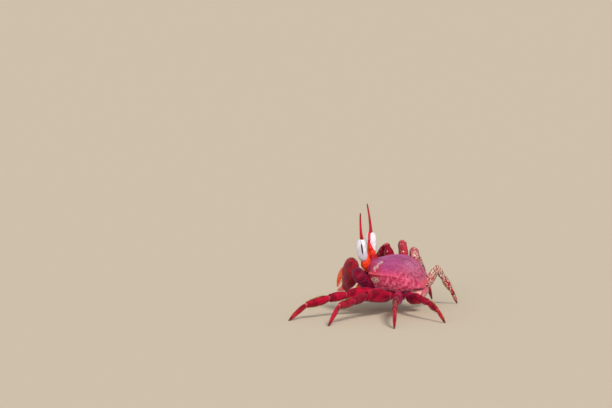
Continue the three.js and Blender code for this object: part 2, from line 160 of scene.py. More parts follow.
bpy.ops.object.camera_add(location=aim - looks_along * CAMERA_DISTANCE)
camera = bpy.context.object
camera.rotation_euler = looks_along.to_track_quat("-Z", "Y").to_euler()
camera.data.lens = LENS
camera.data.clip_end = FARTHEST_SEEN
bpy.context.scene.camera = camera
print("camera at", [round(x, 2) for x in camera.location])

# %% [markdown]
# ## Small mathematics
#
# A few curves are used everywhere: a soft step, a soft plateau and a signed power. They work on whole
# arrays, because a shell has tens of thousands of points.


# %% Soft steps
def ease(x, start, end):
    share = np.clip((x - start) / (end - start), 0, 1)
    return share * share * (3 - 2 * share)


def plateau(x, start, end, soft):
    return ease(x, start - soft, start + soft) * (1 - ease(x, end - soft, end + soft))


def power(x, exponent):
    return np.sign(x) * np.abs(x) ** exponent


def hill(x, y, middle, radius):
    """A round hill of height 1 on the plane."""
    return np.exp(-((x - middle[0]) ** 2 + (y - middle[1]) ** 2) / radius**2)


def unit(vector):
    return np.asarray(vector, float) / np.linalg.norm(vector)


print("a soft step half way:", ease(0.5, 0, 1))

# %% [markdown]
# ## Tools for the work
#
# A few helpers save typing. One leaves nothing selected, because an operator acts on all that is, and one
# selects a single piece. One turns every face outwards. One adds a modifier and applies it. One numbers the
# points of a piece by their places: a ball, an extrusion and a cut number them differently each time the
# lesson is run, and a seeded draw only repeats on a fixed order. One stores numbers for each point, which a
# material can read later to know where on the plate it is.


# %% Helpers for pieces
def clean_start():
    if bpy.context.object and bpy.context.object.mode != "OBJECT":
        bpy.ops.object.mode_set(mode="OBJECT")
    bpy.ops.object.select_all(action="DESELECT")


def choose(piece):
    clean_start()
    piece.select_set(True)
    bpy.context.view_layer.objects.active = piece


def face_out(piece):
    choose(piece)
    bpy.ops.object.mode_set(mode="EDIT")
    bpy.ops.mesh.select_all(action="SELECT")
    bpy.ops.mesh.normals_make_consistent(inside=False)
    bpy.ops.object.mode_set(mode="OBJECT")


def apply_modifier(piece, kind, **settings):
    choose(piece)
    modifier = piece.modifiers.new(kind, kind)
    for key, value in settings.items():
        setattr(modifier, key, value)
    bpy.ops.object.modifier_apply(modifier=modifier.name)


def move_to(piece, places):
    piece.data.vertices.foreach_set("co", np.asarray(places, float).ravel())
    piece.data.update()


def in_order(piece):
    """Numbers the points and faces of a piece by their places."""
    mesh, places = piece.data, places_of(piece)
    order = np.lexsort(np.concatenate([places, np.round(places, 6)], axis=1).T)
    number = np.empty(len(order), int)
    number[order] = np.arange(len(order))
    faces = []
    for face in mesh.polygons:
        around = number[list(face.vertices)].tolist()
        first = around.index(min(around))
        faces.append(around[first:] + around[:first])
    mesh.clear_geometry()
    mesh.from_pydata(places[order].tolist(), [], sorted(faces))
    mesh.update()


def note(piece, **notes):
    """Stores one number for each point of a piece, under each name given."""
    for name, values in notes.items():
        layer = piece.data.attributes.get(name) or piece.data.attributes.new(name, "FLOAT", "POINT")
        layer.data.foreach_set("value", np.asarray(values, np.float32) * np.ones(len(piece.data.vertices)))


def join(piece, *others):
    choose(piece)
    for other in others:
        other.select_set(True)
    bpy.ops.object.join()


print("helpers ready")

# %% [markdown]
# ## Lofting a plate
#
# Every segment of a leg is a closed tube whose section changes along its length. By hand one would add a
# circle, extrude it, and place and scale each new ring, and the loft does the same. A ring is its middle,
# the two directions across it and its two half sizes, in that order. Rings may turn back on themselves,
# which makes the hollow at the end of a segment, where the next one sits. A subdivision surface rounds it.


# %% The loft
def section(sides, radius_at):
    """A closed outline with half sizes of about 1. radius_at takes the angle in degrees, with 90 on top."""
    angles = np.arange(sides) * 2 * math.pi / sides
    radii = np.array([radius_at(math.degrees(a)) for a in angles])
    return np.stack([radii * np.cos(angles), radii * np.sin(angles)], axis=1)


def ring_places(outline, ring):
    centre, across, up, half_across, half_up = ring
    return centre + np.outer(outline[:, 0] * half_across, across) + np.outer(outline[:, 1] * half_up, up)


def loft(name, outline, rings, levels=2):
    clean_start()
    bpy.ops.mesh.primitive_circle_add(vertices=len(outline), radius=1, fill_type="NGON")
    piece = bpy.context.object
    piece.name = name
    step = 2 * math.pi / len(outline)
    order = [round(math.atan2(v.co.y, v.co.x) / step) % len(outline) for v in piece.data.vertices]
    before = ring_places(outline, rings[0])
    move_to(piece, before[order])
    bpy.ops.object.mode_set(mode="EDIT")
    bpy.ops.mesh.select_all(action="SELECT")
    for ring in rings[1:]:
        bpy.ops.mesh.extrude_region()
        places = ring_places(outline, ring)
        for vertex in bmesh.from_edit_mesh(piece.data).verts:
            if vertex.select:
                nearest = np.argmin(((before - np.array(vertex.co)) ** 2).sum(1))
                vertex.co = places[nearest]
        before = places
    face_out(piece)
    in_order(piece)
    apply_modifier(piece, "SUBSURF", levels=levels, render_levels=levels)
    bpy.ops.object.shade_smooth()
    return piece


print("a section of 8 sides has", len(section(8, lambda a: 1)), "points")

# %% [markdown]
# ## Measuring a solid
#
# The long line through a solid is the direction in which its skin spreads furthest. A plane square to that
# line cuts the solid in a section, whose middle and half sizes become one ring of the loft.


# %% Lines and sections of a solid
def long_line(node, away_from):
    """The two ends of the line along a solid, the first one nearer to the given point."""
    triangles = triangles_of(frame["nodes"][node])
    centres = triangles.mean(1)
    edges = triangles[:, 1:] - triangles[:, :1]
    area = np.linalg.norm(np.cross(edges[:, 0], edges[:, 1]), axis=1)
    middle = (centres * area[:, None]).sum(0) / area.sum()
    spread = ((centres - middle) * area[:, None]).T @ (centres - middle)
    way = np.linalg.eigh(spread)[1][:, -1]
    if way @ (middle - away_from) < 0:
        way = -way
    reach = (triangles.reshape(-1, 3) - middle) @ way
    return middle + way * reach.min(), middle + way * reach.max()


def cut(node, start, way, across, up, distance):
    """The ring where a plane, at a distance along a line, cuts a solid."""
    triangles = triangles_of(frame["nodes"][node]) - start
    height = triangles @ way - distance
    crossings = []
    for a, b in ((0, 1), (1, 2), (2, 0)):
        hit = height[:, a] * height[:, b] < 0
        share = (height[hit, a] / (height[hit, a] - height[hit, b]))[:, None]
        crossings.append(triangles[hit, a] * (1 - share) + triangles[hit, b] * share)
    points = np.concatenate(crossings)
    u, v = points @ across, points @ up
    centre = start + way * distance + across * (u.min() + u.max()) / 2 + up * (v.min() + v.max()) / 2
    return [centre, across, up, (u.max() - u.min()) / 2, (v.max() - v.min()) / 2]


def cuts(node, start, lines, distances, wide, high):
    """Rings cut at several distances, and made a little wider and higher. lines are way, across and up."""
    rings = [cut(node, start, *lines, distance) for distance in distances]
    for ring, *scale in zip(rings, np.broadcast_to(wide, len(rings)), np.broadcast_to(high, len(rings))):
        ring[3] *= scale[0]
        ring[4] *= scale[1]
    return rings


def capped(rings, way, before, after):
    """Rings with copies of the first before them and of the last after, each pushed along and scaled."""
    ends = [
        [[middle + way * distance, across, up, wide * k, high * k] for distance, k in steps]
        for (middle, across, up, wide, high), steps in ((rings[0], before), (rings[-1], after))
    ]
    return ends[0] + rings + ends[1]


def plate(node, outline, start, lines, distances, scale, before, after, levels=2):
    """Lofts a plate over a solid, through its sections and the rings that cap them."""
    rings = capped(cuts(node, start, lines, distances, *scale), lines[0], before, after)
    return loft(node + "_plate", outline, rings, levels)


start, end = long_line("leg_left_1_propodus", BODY)
print("long segment of the first left leg, mm:", round(float(np.linalg.norm(end - start)) / MM, 1))

# %% [markdown]
# ## Grains, beads and teeth
#
# Crab shell is rough with hundreds of small domes, and its edges carry rows of beads. One low dome is
# modelled once. Places for it are drawn at random on the skin of a plate, and any that stands too near
# another is dropped, so the grains look sown and never overlap. All the copies become one mesh.


# %% Sowing grains on a plate
def template(add, **settings):
    """The points and triangles of a primitive, which is then removed."""
    clean_start()
    add(**settings)
    shape = bpy.context.object
    in_order(shape)
    apply_modifier(shape, "TRIANGULATE")
    points = places_of(shape)
    faces = np.array([list(face.vertices) for face in shape.data.polygons])
    bpy.data.objects.remove(shape)
    return points, faces


DOME = template(bpy.ops.mesh.primitive_uv_sphere_add, segments=8, ring_count=4, radius=1)
BEAD = template(bpy.ops.mesh.primitive_ico_sphere_add, subdivisions=2, radius=1)


def thinned(points, spacing):
    """Which points to keep, so that no two stand nearer than the spacing."""
    taken, keep = {}, []
    cells = np.floor(points / spacing).astype(int)
    around = [(x, y, z) for x in (-1, 0, 1) for y in (-1, 0, 1) for z in (-1, 0, 1)]
    for index, cell in enumerate(map(tuple, cells)):
        near = [other for step in around for other in taken.get(tuple(map(sum, zip(cell, step))), ())]
        if all(((points[other] - points[index]) ** 2).sum() > spacing**2 for other in near):
            taken.setdefault(cell, []).append(index)
            keep.append(index)
    return np.array(keep, int)


def sown(piece, spacing, seed, where):
    """Places and outward directions on a piece. where gives the chance of a grain at each place."""
    random = np.random.default_rng(seed)
    triangles = triangles_of(piece)
    square = np.cross(triangles[:, 1] - triangles[:, 0], triangles[:, 2] - triangles[:, 0])
    area = np.linalg.norm(square, axis=1)
    count = int(area.sum() / 2 / spacing**2 * 3)
    chosen = random.choice(len(triangles), count, p=area / area.sum())
    weights = random.dirichlet((1, 1, 1), count)
    points = (triangles[chosen] * weights[:, :, None]).sum(1)
    outward = square[chosen] / area[chosen, None]
    likely = where(points, outward) > random.random(count)
    points, outward = points[likely], outward[likely]
    keep = thinned(points, spacing)
    return points[keep], outward[keep]


def copies(name, shape, points, outward, sizes, heights):
    """One mesh of many copies of a shape, standing on points and pointing outward."""
    base, faces = shape
    out = outward / np.linalg.norm(outward, axis=1)[:, None]
    helper = np.where(np.abs(out[:, 2:]) > 0.9, [[1.0, 0, 0]], [[0, 0, 1.0]])
    side = np.cross(helper, out)
    side /= np.linalg.norm(side, axis=1)[:, None]
    other = np.cross(out, side)
    sizes = np.broadcast_to(sizes, len(points))[:, None, None]
    heights = np.broadcast_to(heights, len(points))[:, None, None]
    made = (
        points[:, None]
        + side[:, None] * base[None, :, :1] * sizes
        + other[:, None] * base[None, :, 1:2] * sizes
        + out[:, None] * base[None, :, 2:] * heights
    ).reshape(-1, 3)
    numbers = (faces[None] + (np.arange(len(points)) * len(base))[:, None, None]).reshape(-1, 3)
    mesh = bpy.data.meshes.new(name)
    mesh.from_pydata(made.tolist(), [], numbers.tolist())
    mesh.polygons.foreach_set("use_smooth", np.ones(len(numbers), bool))
    piece = bpy.data.objects.new(name, mesh)
    bpy.context.scene.collection.objects.link(piece)
    return piece


def join_marked(piece, *others, mark="stud"):
    """Joins grains or teeth to a piece. Afterwards the mark is 1 on them and 0 on the piece."""
    note(piece, **{mark: 0})
    for other in others:
        note(other, **{mark: 1})
    join(piece, *others)


def studded(piece, spacing, size, seed, where=lambda points, outward: np.ones(len(points)), tall=0.6):
    """Sows domes on a piece and joins them to it."""
    random = np.random.default_rng(seed)
    points, outward = sown(piece, spacing, seed, where)
    sizes = size * random.uniform(0.7, 1.15, len(points))
    grains = copies(piece.name + "_grains", DOME, points, outward, sizes, sizes * tall)
    print(piece.name, "has", len(piece.data.vertices), "points and", len(points), "grains")
    join_marked(piece, grains)


# %% [markdown]
# ## Writing materials as sums
#
# A material is a tree of nodes. Written out node by node it is long, so an amount in the tree gets the
# usual signs of arithmetic, and each sign adds the Math node it stands for. Colours are mixed, because a
# Math node would turn them grey.


# %% Materials
class Amount:
    """A socket that can be used in a sum."""

    def __init__(self, finish, socket):
        self.finish, self.socket = finish, socket

    def maths(self, operation, first, second):
        return self.finish.add("ShaderNodeMath", {"operation": operation}, {0: first, 1: second})

    def __add__(self, other):
        return self.maths("ADD", self, other)

    def __radd__(self, other):
        return self.maths("ADD", other, self)

    def __sub__(self, other):
        return self.maths("SUBTRACT", self, other)

    def __rsub__(self, other):
        return self.maths("SUBTRACT", other, self)

    def __mul__(self, other):
        return self.maths("MULTIPLY", self, other)

    def __rmul__(self, other):
        return self.maths("MULTIPLY", other, self)

    def between(self, start, end):
        """A soft step from 0 to 1 as this amount goes from start to end."""
        sockets = {0: self, 1: start, 2: end}
        return self.finish.add("ShaderNodeMapRange", {"interpolation_type": "SMOOTHSTEP"}, sockets)


def colour(code):
    """A colour for a shader, from its six-figure code on a screen."""
    screen = [int(code[k : k + 2], 16) / 255 for k in (0, 2, 4)]
    light = [c / 12.92 if c <= 0.04045 else ((c + 0.055) / 1.055) ** 2.4 for c in screen]
    return (*light, 1.0)


def plain(value):
    """What a socket takes: a colour for a code, and anything else as it is."""
    return colour(value) if isinstance(value, str) else value


class Finish:
    """One material and its node tree."""

    def __init__(self, name, **constants):
        self.material = bpy.data.materials.new(name)
        self.material.use_nodes = True
        self.tree = self.material.node_tree
        self.shader = self.tree.nodes["Principled BSDF"]
        self.fix(**constants)

    def fix(self, **constants):
        """Sets sockets of the shader that stay the same all over the piece."""
        for socket, value in constants.items():
            self.shader.inputs[socket.replace("_", " ")].default_value = plain(value)

    def add(self, kind, settings=None, sockets=None, output=0):
        node = self.tree.nodes.new(kind)
        for key, value in (settings or {}).items():
            setattr(node, key, value)
        for key, value in (sockets or {}).items():
            if isinstance(value, Amount):
                self.tree.links.new(value.socket, node.inputs[key])
            else:
                node.inputs[key].default_value = plain(value)
        return Amount(self, node.outputs[output])

    def noted(self, name):
        return self.add("ShaderNodeAttribute", {"attribute_name": name}, output=2)

    def mottle(self, size, detail=2.0, stretch=(1, 1, 1)):
        """A cloudy amount, about 0.5, whose clouds are about `size` millimetres."""
        place = self.add("ShaderNodeTexCoord", output=3)
        stretched = self.add("ShaderNodeMapping", None, {0: place, 3: stretch})
        sockets = {"Vector": stretched, "Scale": 0.6 / (size * MM), "Detail": detail}
        return self.add("ShaderNodeTexNoise", None, sockets)

    def cells(self, size, output=0):
        """Cells about `size` millimetres wide. Output 0 is the distance to a middle, 1 a random amount."""
        place = self.add("ShaderNodeTexCoord", output=3)
        sockets = {"Vector": place, "Scale": 1 / (size * MM)}
        return self.add("ShaderNodeTexVoronoi", None, sockets, output)

    def sand(self):
        """Grains of dry sand where the noted dust is high: how much shows, and its colour."""
        pick = self.cells(0.6, 1)
        shown = (self.noted("dust") * 1.35 + self.mottle(1.8) * 1.2 - pick - 0.85).between(0.0, 0.05)
        shown = shown * (1 - (self.cells(0.6) + self.mottle(0.4) * 0.5).between(0.72, 0.82))
        return shown, self.mixed(pick.between(0.25, 0.75), "f6ecda", "b98f68")

    def mixed(self, share, first, second):
        sockets = {0: share, 6: first, 7: second}
        return self.add("ShaderNodeMix", {"data_type": "RGBA"}, sockets, output=2)

    def covered(self, skin, *coats):
        """A colour under thin coats, each a share and the colour that it adds."""
        for share, coat in coats:
            skin = self.mixed(share, skin, coat)
        return skin

    def feed(self, socket, amount):
        self.tree.links.new(amount.socket, self.shader.inputs[socket])

    def raise_by(self, height, depth, strength=1.0):
        """Bumps of the given depth in millimetres where height goes from 0 to 1."""
        sockets = {"Height": height, "Distance": depth * MM, "Strength": strength}
        self.feed("Normal", self.add("ShaderNodeBump", None, sockets))


print("crimson is", [round(c, 3) for c in colour("b0182c")])

# %% [markdown]
# ## The finish of shell
#
# Crab shell is a pigmented plate under a thin waxy skin: satin, with fine pits, cloudy colour, paler grains
# and darker hollows. The same dark coat carries the painted shade of a leg that is given one. Every shell
# here shares that recipe with its own colours. The base of a segment is paler where soft skin shows, and
# dry sand dust clings to the parts that dig.

# %% The recipe for shell
def shell_finish(name, deep, main, light, stud, base, roughness=0.42, grain=0.35):
    finish = Finish(name, Coat_Weight=0.08, Coat_Roughness=0.18, Specular_IOR_Level=0.2)
    clouds = finish.mottle(3.2, 3.0)
    specks = finish.mottle(0.55, 2.0)
    pits = finish.cells(grain)
    sandy, sand_colour = finish.sand()
    skin = finish.covered(
        finish.mixed(clouds.between(0.36, 0.66), deep, main),
        (specks.between(0.52, 0.76) * 0.5, light),
        (finish.noted("stud") * 0.55, stud),
        # Hollows are darker, and the same coat lays painted shade over a leg that is given it.
        (finish.noted("hollow") * 0.7, deep),
        (finish.noted("base"), base),
        (sandy, sand_colour),
    )
    finish.feed("Base Color", skin)
    finish.feed("Roughness", roughness + specks * 0.16 + sandy * 0.3)
    finish.raise_by((1 - pits.between(0.0, 0.75)) * 0.7 + specks * 0.5 + sandy * 3.0, 0.05)
    return finish


print("the recipe is ready")

# %% [markdown]
# ## The shield over the body
#
# The shield is boxy: broad and gently arched on top, with sharp beaded side margins, steep side walls that
# tuck in to the belly, a brow that sweeps back from a small beak to a tooth at each corner, and a face that
# slopes to the mouth. Box modelling would lose the sharp margin, so a ball with its poles at nose and tail
# is reshaped, ring by ring, by the same rule that gave the solid, and its points are spread evenly.

# %% The rule of the shield
WIDTH, CROWN, FLANK, CHIN, HIND, DROP = 41, 5.3, 14.2, 15.8, 0.56, 9.6
BROW_SWEEP, BEAK, CORNER_TOOTH, MOUTH_LEVEL, MOUTH_SLOPE = 4.6, 1.2, 2.2, 8.2, 0.75


def shell_half_width(v):
    front = 0.035 * ease(-v, 0.4, 1)
    hind = (1 - HIND) * np.maximum(0, (v + 0.25) / 1.25) ** 2.3
    return WIDTH / 2 * (1 - front - hind)


def margin_drop(v):
    return DROP * np.maximum(0, (v + 0.1) / 1.1) ** 2.1


def front_set_back(x, z):
    away = np.abs(x)
    brow = BROW_SWEEP * ease(away, 3, 17) ** 1.4
    beak = -BEAK * (1 - ease(away, 1.4, 4)) * plateau(z, -6, 4, 1.5)
    corner = -CORNER_TOOTH * ease(away, 16.6, 19.6) * plateau(z, -3, 2.5, 1.5)
    return brow + beak + corner + MOUTH_SLOPE * np.maximum(0, -z - MOUTH_LEVEL)


def shell_place(v, radius, angle):
    """Level place, in mm, of a point of the shield.

    v runs from nose -1 to tail 1, radius from the middle 0 to the skin 1, angle from the left margin.
    """
    top = np.sin(angle) >= 0
    margin = 1.55 + 0.45 * ease(v, 0.1, 0.9)
    square = np.where(top, margin, 3.2)
    crown = CROWN * (1 - 0.45 * ease(-v, 0.2, 1) - 0.35 * ease(v, 0.1, 1))
    deepest = FLANK + (CHIN - FLANK) * plateau(v, -1.2, -0.42, 0.16)
    high = np.where(top, crown, deepest * (1 - 0.55 * ease(v, 0.2, 1)))
    across = radius * shell_half_width(v) * power(np.cos(angle), 2 / square)
    up = radius * high * power(np.sin(angle), 2 / square)
    x = across * np.where(top, 1, 1 + 0.24 * up / high)
    z = up - margin_drop(v)
    y = SHELL_LENGTH / 2 * v + ease(-v, 0.62, 0.97) * front_set_back(x, z)
    return np.stack([x, y, z], axis=-1)


print("left margin half way, mm:", np.round(shell_place(0.0, 1.0, 0.0), 1))

# %% [markdown]
# The back isn't smooth. Two long furrows and a bar between them make a shallow H, the stomach and the gill
# chambers stand up as low mounds, and a short furrow runs back from the beak. These are hills and hollows
# added to the height, each with its own place and radius.


# %% Furrows and mounds of the back
def furrows(x, y):
    """1 at the bottom of a furrow, 0 away from them."""
    along = plateau(y, -2.5, 10.5, 2)
    rails = np.exp(-((np.abs(x) - 4.4 - 0.02 * (y - 4) ** 2) ** 2) / 0.55) * along
    bar = np.exp(-((y - 3.2 - 0.05 * x**2) ** 2) / 0.5) * (1 - ease(np.abs(x), 3.8, 5.2))
    neck = np.exp(-((np.abs(x) - 5.6 - 0.42 * (-2.5 - y)) ** 2) / 0.7) * plateau(y, -9, -2.5, 1.4)
    nose = np.exp(-(x**2) / 0.9) * plateau(y, -17, -11, 1.5)
    gill = np.exp(-((np.abs(x) - 10.5 - 0.1 * (y - 2)) ** 2) / 0.8) * plateau(y, 1, 11, 2.5) * 0.6
    return np.clip(rails + bar + neck + nose + gill, 0, 1)


def mounds(x, y):
    away = np.abs(x)
    stomach = 0.5 * hill(away, y, (2.6, -5.5), 3.6)
    gills = 0.55 * hill(away, y, (12.5, -2), 6.5) + 0.35 * hill(away, y, (9, 9.5), 4)
    heart = 0.4 * hill(x, y, (0, 7.6), 3.2)
    brows = 0.35 * hill(away, y, (3.0, -14.6), 1.8)
    return stomach + gills + heart + brows

# %% [markdown]
# A sphere has equal angles between its points, but the rule squeezes them together in some places and pulls
# them apart in others. Beads and fine bumps need even triangles. So dense curves of the rule are measured
# first, equal steps along them give the angles, and each ring and spoke of the sphere is moved there.

# %% Shaping the shield
RINGS, ROUND_TOP, ROUND_UNDER = 170, 110, 120
SPOKES = ROUND_TOP + ROUND_UNDER
NOSE_BLUNT, TAIL_BLUNT = 6, 2.6


def evenly(points, count):
    """Shares of the way along a dense curve at which it falls into equal lengths."""
    steps = np.linalg.norm(np.diff(points, axis=0), axis=1)
    length = np.concatenate([[0], np.cumsum(steps)]) / steps.sum()
    return np.interp(np.linspace(0, 1, count + 1), length, np.linspace(0, 1, len(points)))


def shell_radius(v):
    """How far the skin of the shield lies from its long axis, from nose -1 to tail 1."""
    blunt = np.where(v < 0, NOSE_BLUNT, TAIL_BLUNT)
    return (1 - np.abs(v) ** blunt) ** (1 / blunt)


def nose_to_tail(angle):
    """Radius and v of the skin at angles of the ball, from nose 0 to tail pi."""
    blunt = np.where(angle < math.pi / 2, NOSE_BLUNT, TAIL_BLUNT)
    return power(np.sin(angle), 2 / blunt), -power(np.cos(angle), 2 / blunt)


half_turn = np.linspace(0, math.pi, 2001)
ring_radius, ring_v = nose_to_tail(evenly(np.stack(nose_to_tail(half_turn), axis=1), RINGS) * math.pi)
over = evenly(shell_place(0.0 * half_turn, 1.0, half_turn), ROUND_TOP) * math.pi
under = evenly(shell_place(0.0 * half_turn, 1.0, half_turn + math.pi), ROUND_UNDER) * math.pi + math.pi
turn_angle = np.concatenate([over[:-1], under[:-1]])

clean_start()
bpy.ops.mesh.primitive_uv_sphere_add(segments=SPOKES, ring_count=RINGS, radius=1)
carapace = bpy.context.object
carapace.name = "carapace_plate"
in_order(carapace)
ball = places_of(carapace)
which_ring = np.round(np.arccos(np.clip(-ball[:, 2], -1, 1)) / math.pi * RINGS).astype(int)
which_spoke = np.round(np.arctan2(ball[:, 1], ball[:, 0]) / (2 * math.pi) * SPOKES).astype(int) % SPOKES
angle = turn_angle[which_spoke]
level = shell_place(ring_v[which_ring], ring_radius[which_ring], angle)
back = np.clip(np.sin(angle), 0, 1) ** 0.5 * ease(level[:, 1], -19, -15)
level[:, 2] += back * (mounds(level[:, 0], level[:, 1]) - 0.55 * furrows(level[:, 0], level[:, 1]))
move_to(carapace, on_body(level))
face_out(carapace)
print("shield points:", len(carapace.data.vertices))

# %% [markdown]
# ## The eye sockets
#
# Each eye folds sideways into a long trench under the brow. The trench is the trace of a sausage, so a
# lofted sausage is cut away from the shield with a Boolean modifier. The rim that is left is then found by
# its sharp edges, and set with small beads as on the real animal.

# %% Cutting the sockets
SOCKET_INNER, SOCKET_OUTER, SOCKET_LEVEL, SOCKET_HIGH, SOCKET_DEEP = 4.6, 18, -3.6, 3.5, 4.2
ROUND = section(16, lambda degrees: 1.0)


def socket_tool(side):
    rings = []
    for share in 0.5 - 0.5 * np.cos(np.linspace(0.06, math.pi - 0.06, 13)):
        ends = (1 - share) ** 2, 2 * share * (1 - share), share**2
        x = side * (SOCKET_INNER * (ends[0] + ends[1] / 2) + SOCKET_OUTER * (ends[1] / 2 + ends[2]))
        y = -19 * ends[0] - 18.6 * ends[1] - 14.2 * ends[2]
        z = SOCKET_LEVEL + 0.5 * ends[2]
        size = (1 - abs(2 * share - 1) ** 2.8) ** (1 / 2.8)
        middle = on_body([[x, y, z]])[0]
        rings.append([middle, LEAN[:, 1], LEAN[:, 2], SOCKET_DEEP * size * MM, SOCKET_HIGH * size * MM])
    return loft("socket_tool", ROUND, rings)


for side in SIDES.values():
    tool = socket_tool(side)
    apply_modifier(carapace, "BOOLEAN", operation="DIFFERENCE", solver="EXACT", object=tool)
    in_order(carapace)
    bpy.data.objects.remove(tool)


def sharp_places(piece, degrees, where):
    """Middles and outward directions of the edges of a piece that fold by more than an angle."""
    mesh = bmesh.new()
    mesh.from_mesh(piece.data)
    limit = math.radians(degrees)
    sharp = [edge for edge in mesh.edges if edge.is_manifold and edge.calc_face_angle() > limit]
    points = np.array([(edge.verts[0].co + edge.verts[1].co) / 2 for edge in sharp])
    folds = [edge.link_faces[0].normal + edge.link_faces[1].normal for edge in sharp]
    outward = np.array([fold.normalized() for fold in folds])
    mesh.free()
    order = np.lexsort(points.T)
    chosen = order[where(in_body(points))[order]]
    return points[chosen], outward[chosen]


def round_sockets(level):
    return (level[:, 1] < -10) & (np.abs(level[:, 0]) > 2.6) & (level[:, 2] > -9)


rim, rim_out = sharp_places(carapace, 38, round_sockets)
rim_keep = thinned(rim, 0.62 * MM)
print("beads round the sockets:", len(rim_keep))

# %% [markdown]
# ## Beads and grains of the shield
#
# A row of beads follows each side margin, larger towards the front. The back carries grains that are
# coarse over the gills and fine in the middle, and the side walls carry a fine even sowing.

# %% Setting the margin and sowing the back
along = np.linspace(-0.95, 0.6, 54)
on_margin = np.concatenate([shell_place(along, shell_radius(along), side) for side in (0.0, math.pi)])
margin_out = np.repeat([LEAN[:, 0], -LEAN[:, 0]], len(along), axis=0)
bead_size = np.tile(np.interp(along, [-0.95, 0.0, 0.6], [0.42, 0.36, 0.16]), 2) * MM
margin_beads = copies("margin_beads", DOME, on_body(on_margin), margin_out, bead_size, bead_size * 0.8)
rim_beads = copies("rim_beads", DOME, rim[rim_keep], rim_out[rim_keep], 0.34 * MM, 0.26 * MM)


def back_grains(points, outward):
    x, y, _ = in_body(points).T
    coarse = ease(np.abs(x), 5, 14) * 0.75 + 0.12
    return coarse * ease(outward @ LEAN[:, 2], 0.1, 0.5) * ease(y, -17, -13)


def wall_grains(points, outward):
    x, y, _ = in_body(points).T
    up = outward @ LEAN[:, 2]
    return (1 - ease(up, 0.0, 0.3)) * ease(up, -0.9, -0.5) * 0.7 * ease(-np.abs(x) + y, -34, -8)


back_points, back_out = sown(carapace, 0.85 * MM, 3, back_grains)
wall_points, wall_out = sown(carapace, 0.8 * MM, 4, wall_grains)
grain_sizes = np.interp(np.abs(in_body(back_points)[:, 0]), [0, 8, 18], [0.16, 0.24, 0.36]) * MM
back_beads = copies("back_grains", DOME, back_points, back_out, grain_sizes, grain_sizes * 0.55)
wall_beads = copies("wall_grains", DOME, wall_points, wall_out, 0.24 * MM, 0.13 * MM)
join_marked(carapace, margin_beads, rim_beads, back_beads, wall_beads)
print("grains on the back:", len(back_points), "on the walls:", len(wall_points))

# %% [markdown]
# The colour of the shield changes over it: purple on the back, red and pink on the walls and towards the
# tail, and salmon along the beaded margin. Some of it is painted light and shade: the walls are painted
# lighter than their own pink for light thrown up from the ground, the face and front shoulders carry
# darker crimson painted shade, the crimson band by the front margins is stronger on the right side as
# painted light, and a lavender painted sky reflection lies over the hind back. Each of these areas is
# stored on the points as a number from 0 to 1, and the material mixes its colours by them.

# %% Areas of the shield
choose(carapace)
bpy.ops.object.shade_smooth_by_angle(angle=math.radians(42))
x, y, z = in_body(places_of(carapace)).T
away = np.abs(x)
v = y / (SHELL_LENGTH / 2)
above = z + margin_drop(v)
half_here = shell_half_width(np.clip(v, -1, 1))
front_corner = ease(away, 8, 17) * ease(-y, 2, 12) * (1 - ease(above, 0.5, 5))
climb = 5.5 * ease(y, -1, 9)
lip_of_margin = np.exp(-(above**2) / 0.35) * ease(away, half_here - 2.0, half_here - 0.5)
over_edge = ease(away, half_here - 5.5, half_here - 1.5) * ease(above, -1, 0)
corner_sand = hill(y, above, (-9.0, -4.2), 2.7) * 1.5 + hill(y, above, (-9.5, 3.2), 2.2) * 0.7
low_sand = ease(-above, 1, 8) * 0.38
note(
    carapace,
    back=ease(above, -1.6, 2.4),
    # face and shoulder darken the front slope, the front corners and the front shoulders with crimson painted
    # shade.
    face=np.maximum(ease(-y, 12.5, 17), front_corner * 0.45),
    shoulder=ease(away, 5, 10) * ease(-y, 3, 9.5) * ease(above, -9, -5) * (1 - ease(above, 2.5, 6)),
    tail=ease(y, -2, 11),
    flank=(1 - ease(above - climb, -1.6, 2.6)) * ease(y, -1, 7) * ease(above, -1.2, 0.8),
    margin=lip_of_margin * (1 - ease(y, -12, 0) * 0.95),
    # edge is the shell's own crimson band by the front margins; its extra strength on the right side is painted
    # light.
    edge=over_edge * ease(-y, -13, -4) * (0.45 + 0.55 * (x < 0)),
    # The lavender area over the hind back holds a painted sky reflection.
    bloom=ease(y, 0, 12) * ease(above, 2, 6) * (1 - ease(y, 15, 18)),
    hem=ease(y, 16.5, 17.8),
    dust=np.maximum(corner_sand, low_sand) * ease(x, 2, 8),
    hollow=furrows(x, y) * ease(above, 0.2, 1.5) * 0.8,
    inner=ease(-above, 9.5, 13.5),
)
print("areas:", [layer.name for layer in carapace.data.attributes if layer.data_type == "FLOAT"])

# %% [markdown]
# The colour of a live shell lies in layers under a thin wax. A painted map could hold it, but would blur
# close up. Here the skin is mixed from clouds, veins and specks, which stay sharp at any distance, and each
# area then adds its own thin coat of colour. Among them are painted shade on the face and front shoulders,
# and painted light on the walls, the right edge and the hind back.

# %% Painting the shield
shield = Finish("shield", Coat_Weight=0.08, Coat_Roughness=0.2, Specular_IOR_Level=0.25)
shield.fix(Sheen_Weight=0.4, Sheen_Roughness=0.35, Sheen_Tint="a48ce0")
clouds = shield.mottle(5.5, 3.0)
veins = shield.mottle(1.0, 3.0, (1, 1, 0.28))
specks = shield.mottle(0.45, 2.0)
coarse = shield.mottle(1.2, 2.0, (1.5, 1.5, 0.4))
AREAS = "back face shoulder tail flank margin edge bloom hem hollow inner stud"
area = {name: shield.noted(name) for name in AREAS.split()}
cloudy, veined = clouds.between(0.36, 0.64), veins.between(0.42, 0.58)
lower = 1 - area["back"] * 0.7
back_skin = shield.covered(
    shield.mixed(cloudy, "86265a", "9e3a76"),
    (area["tail"] * 0.85, shield.mixed(cloudy, "8a2040", "a03454")),
    (area["flank"] * 0.7, shield.mixed(veined, "861838", "c2526e")),
)
sandy, sand_colour = shield.sand()
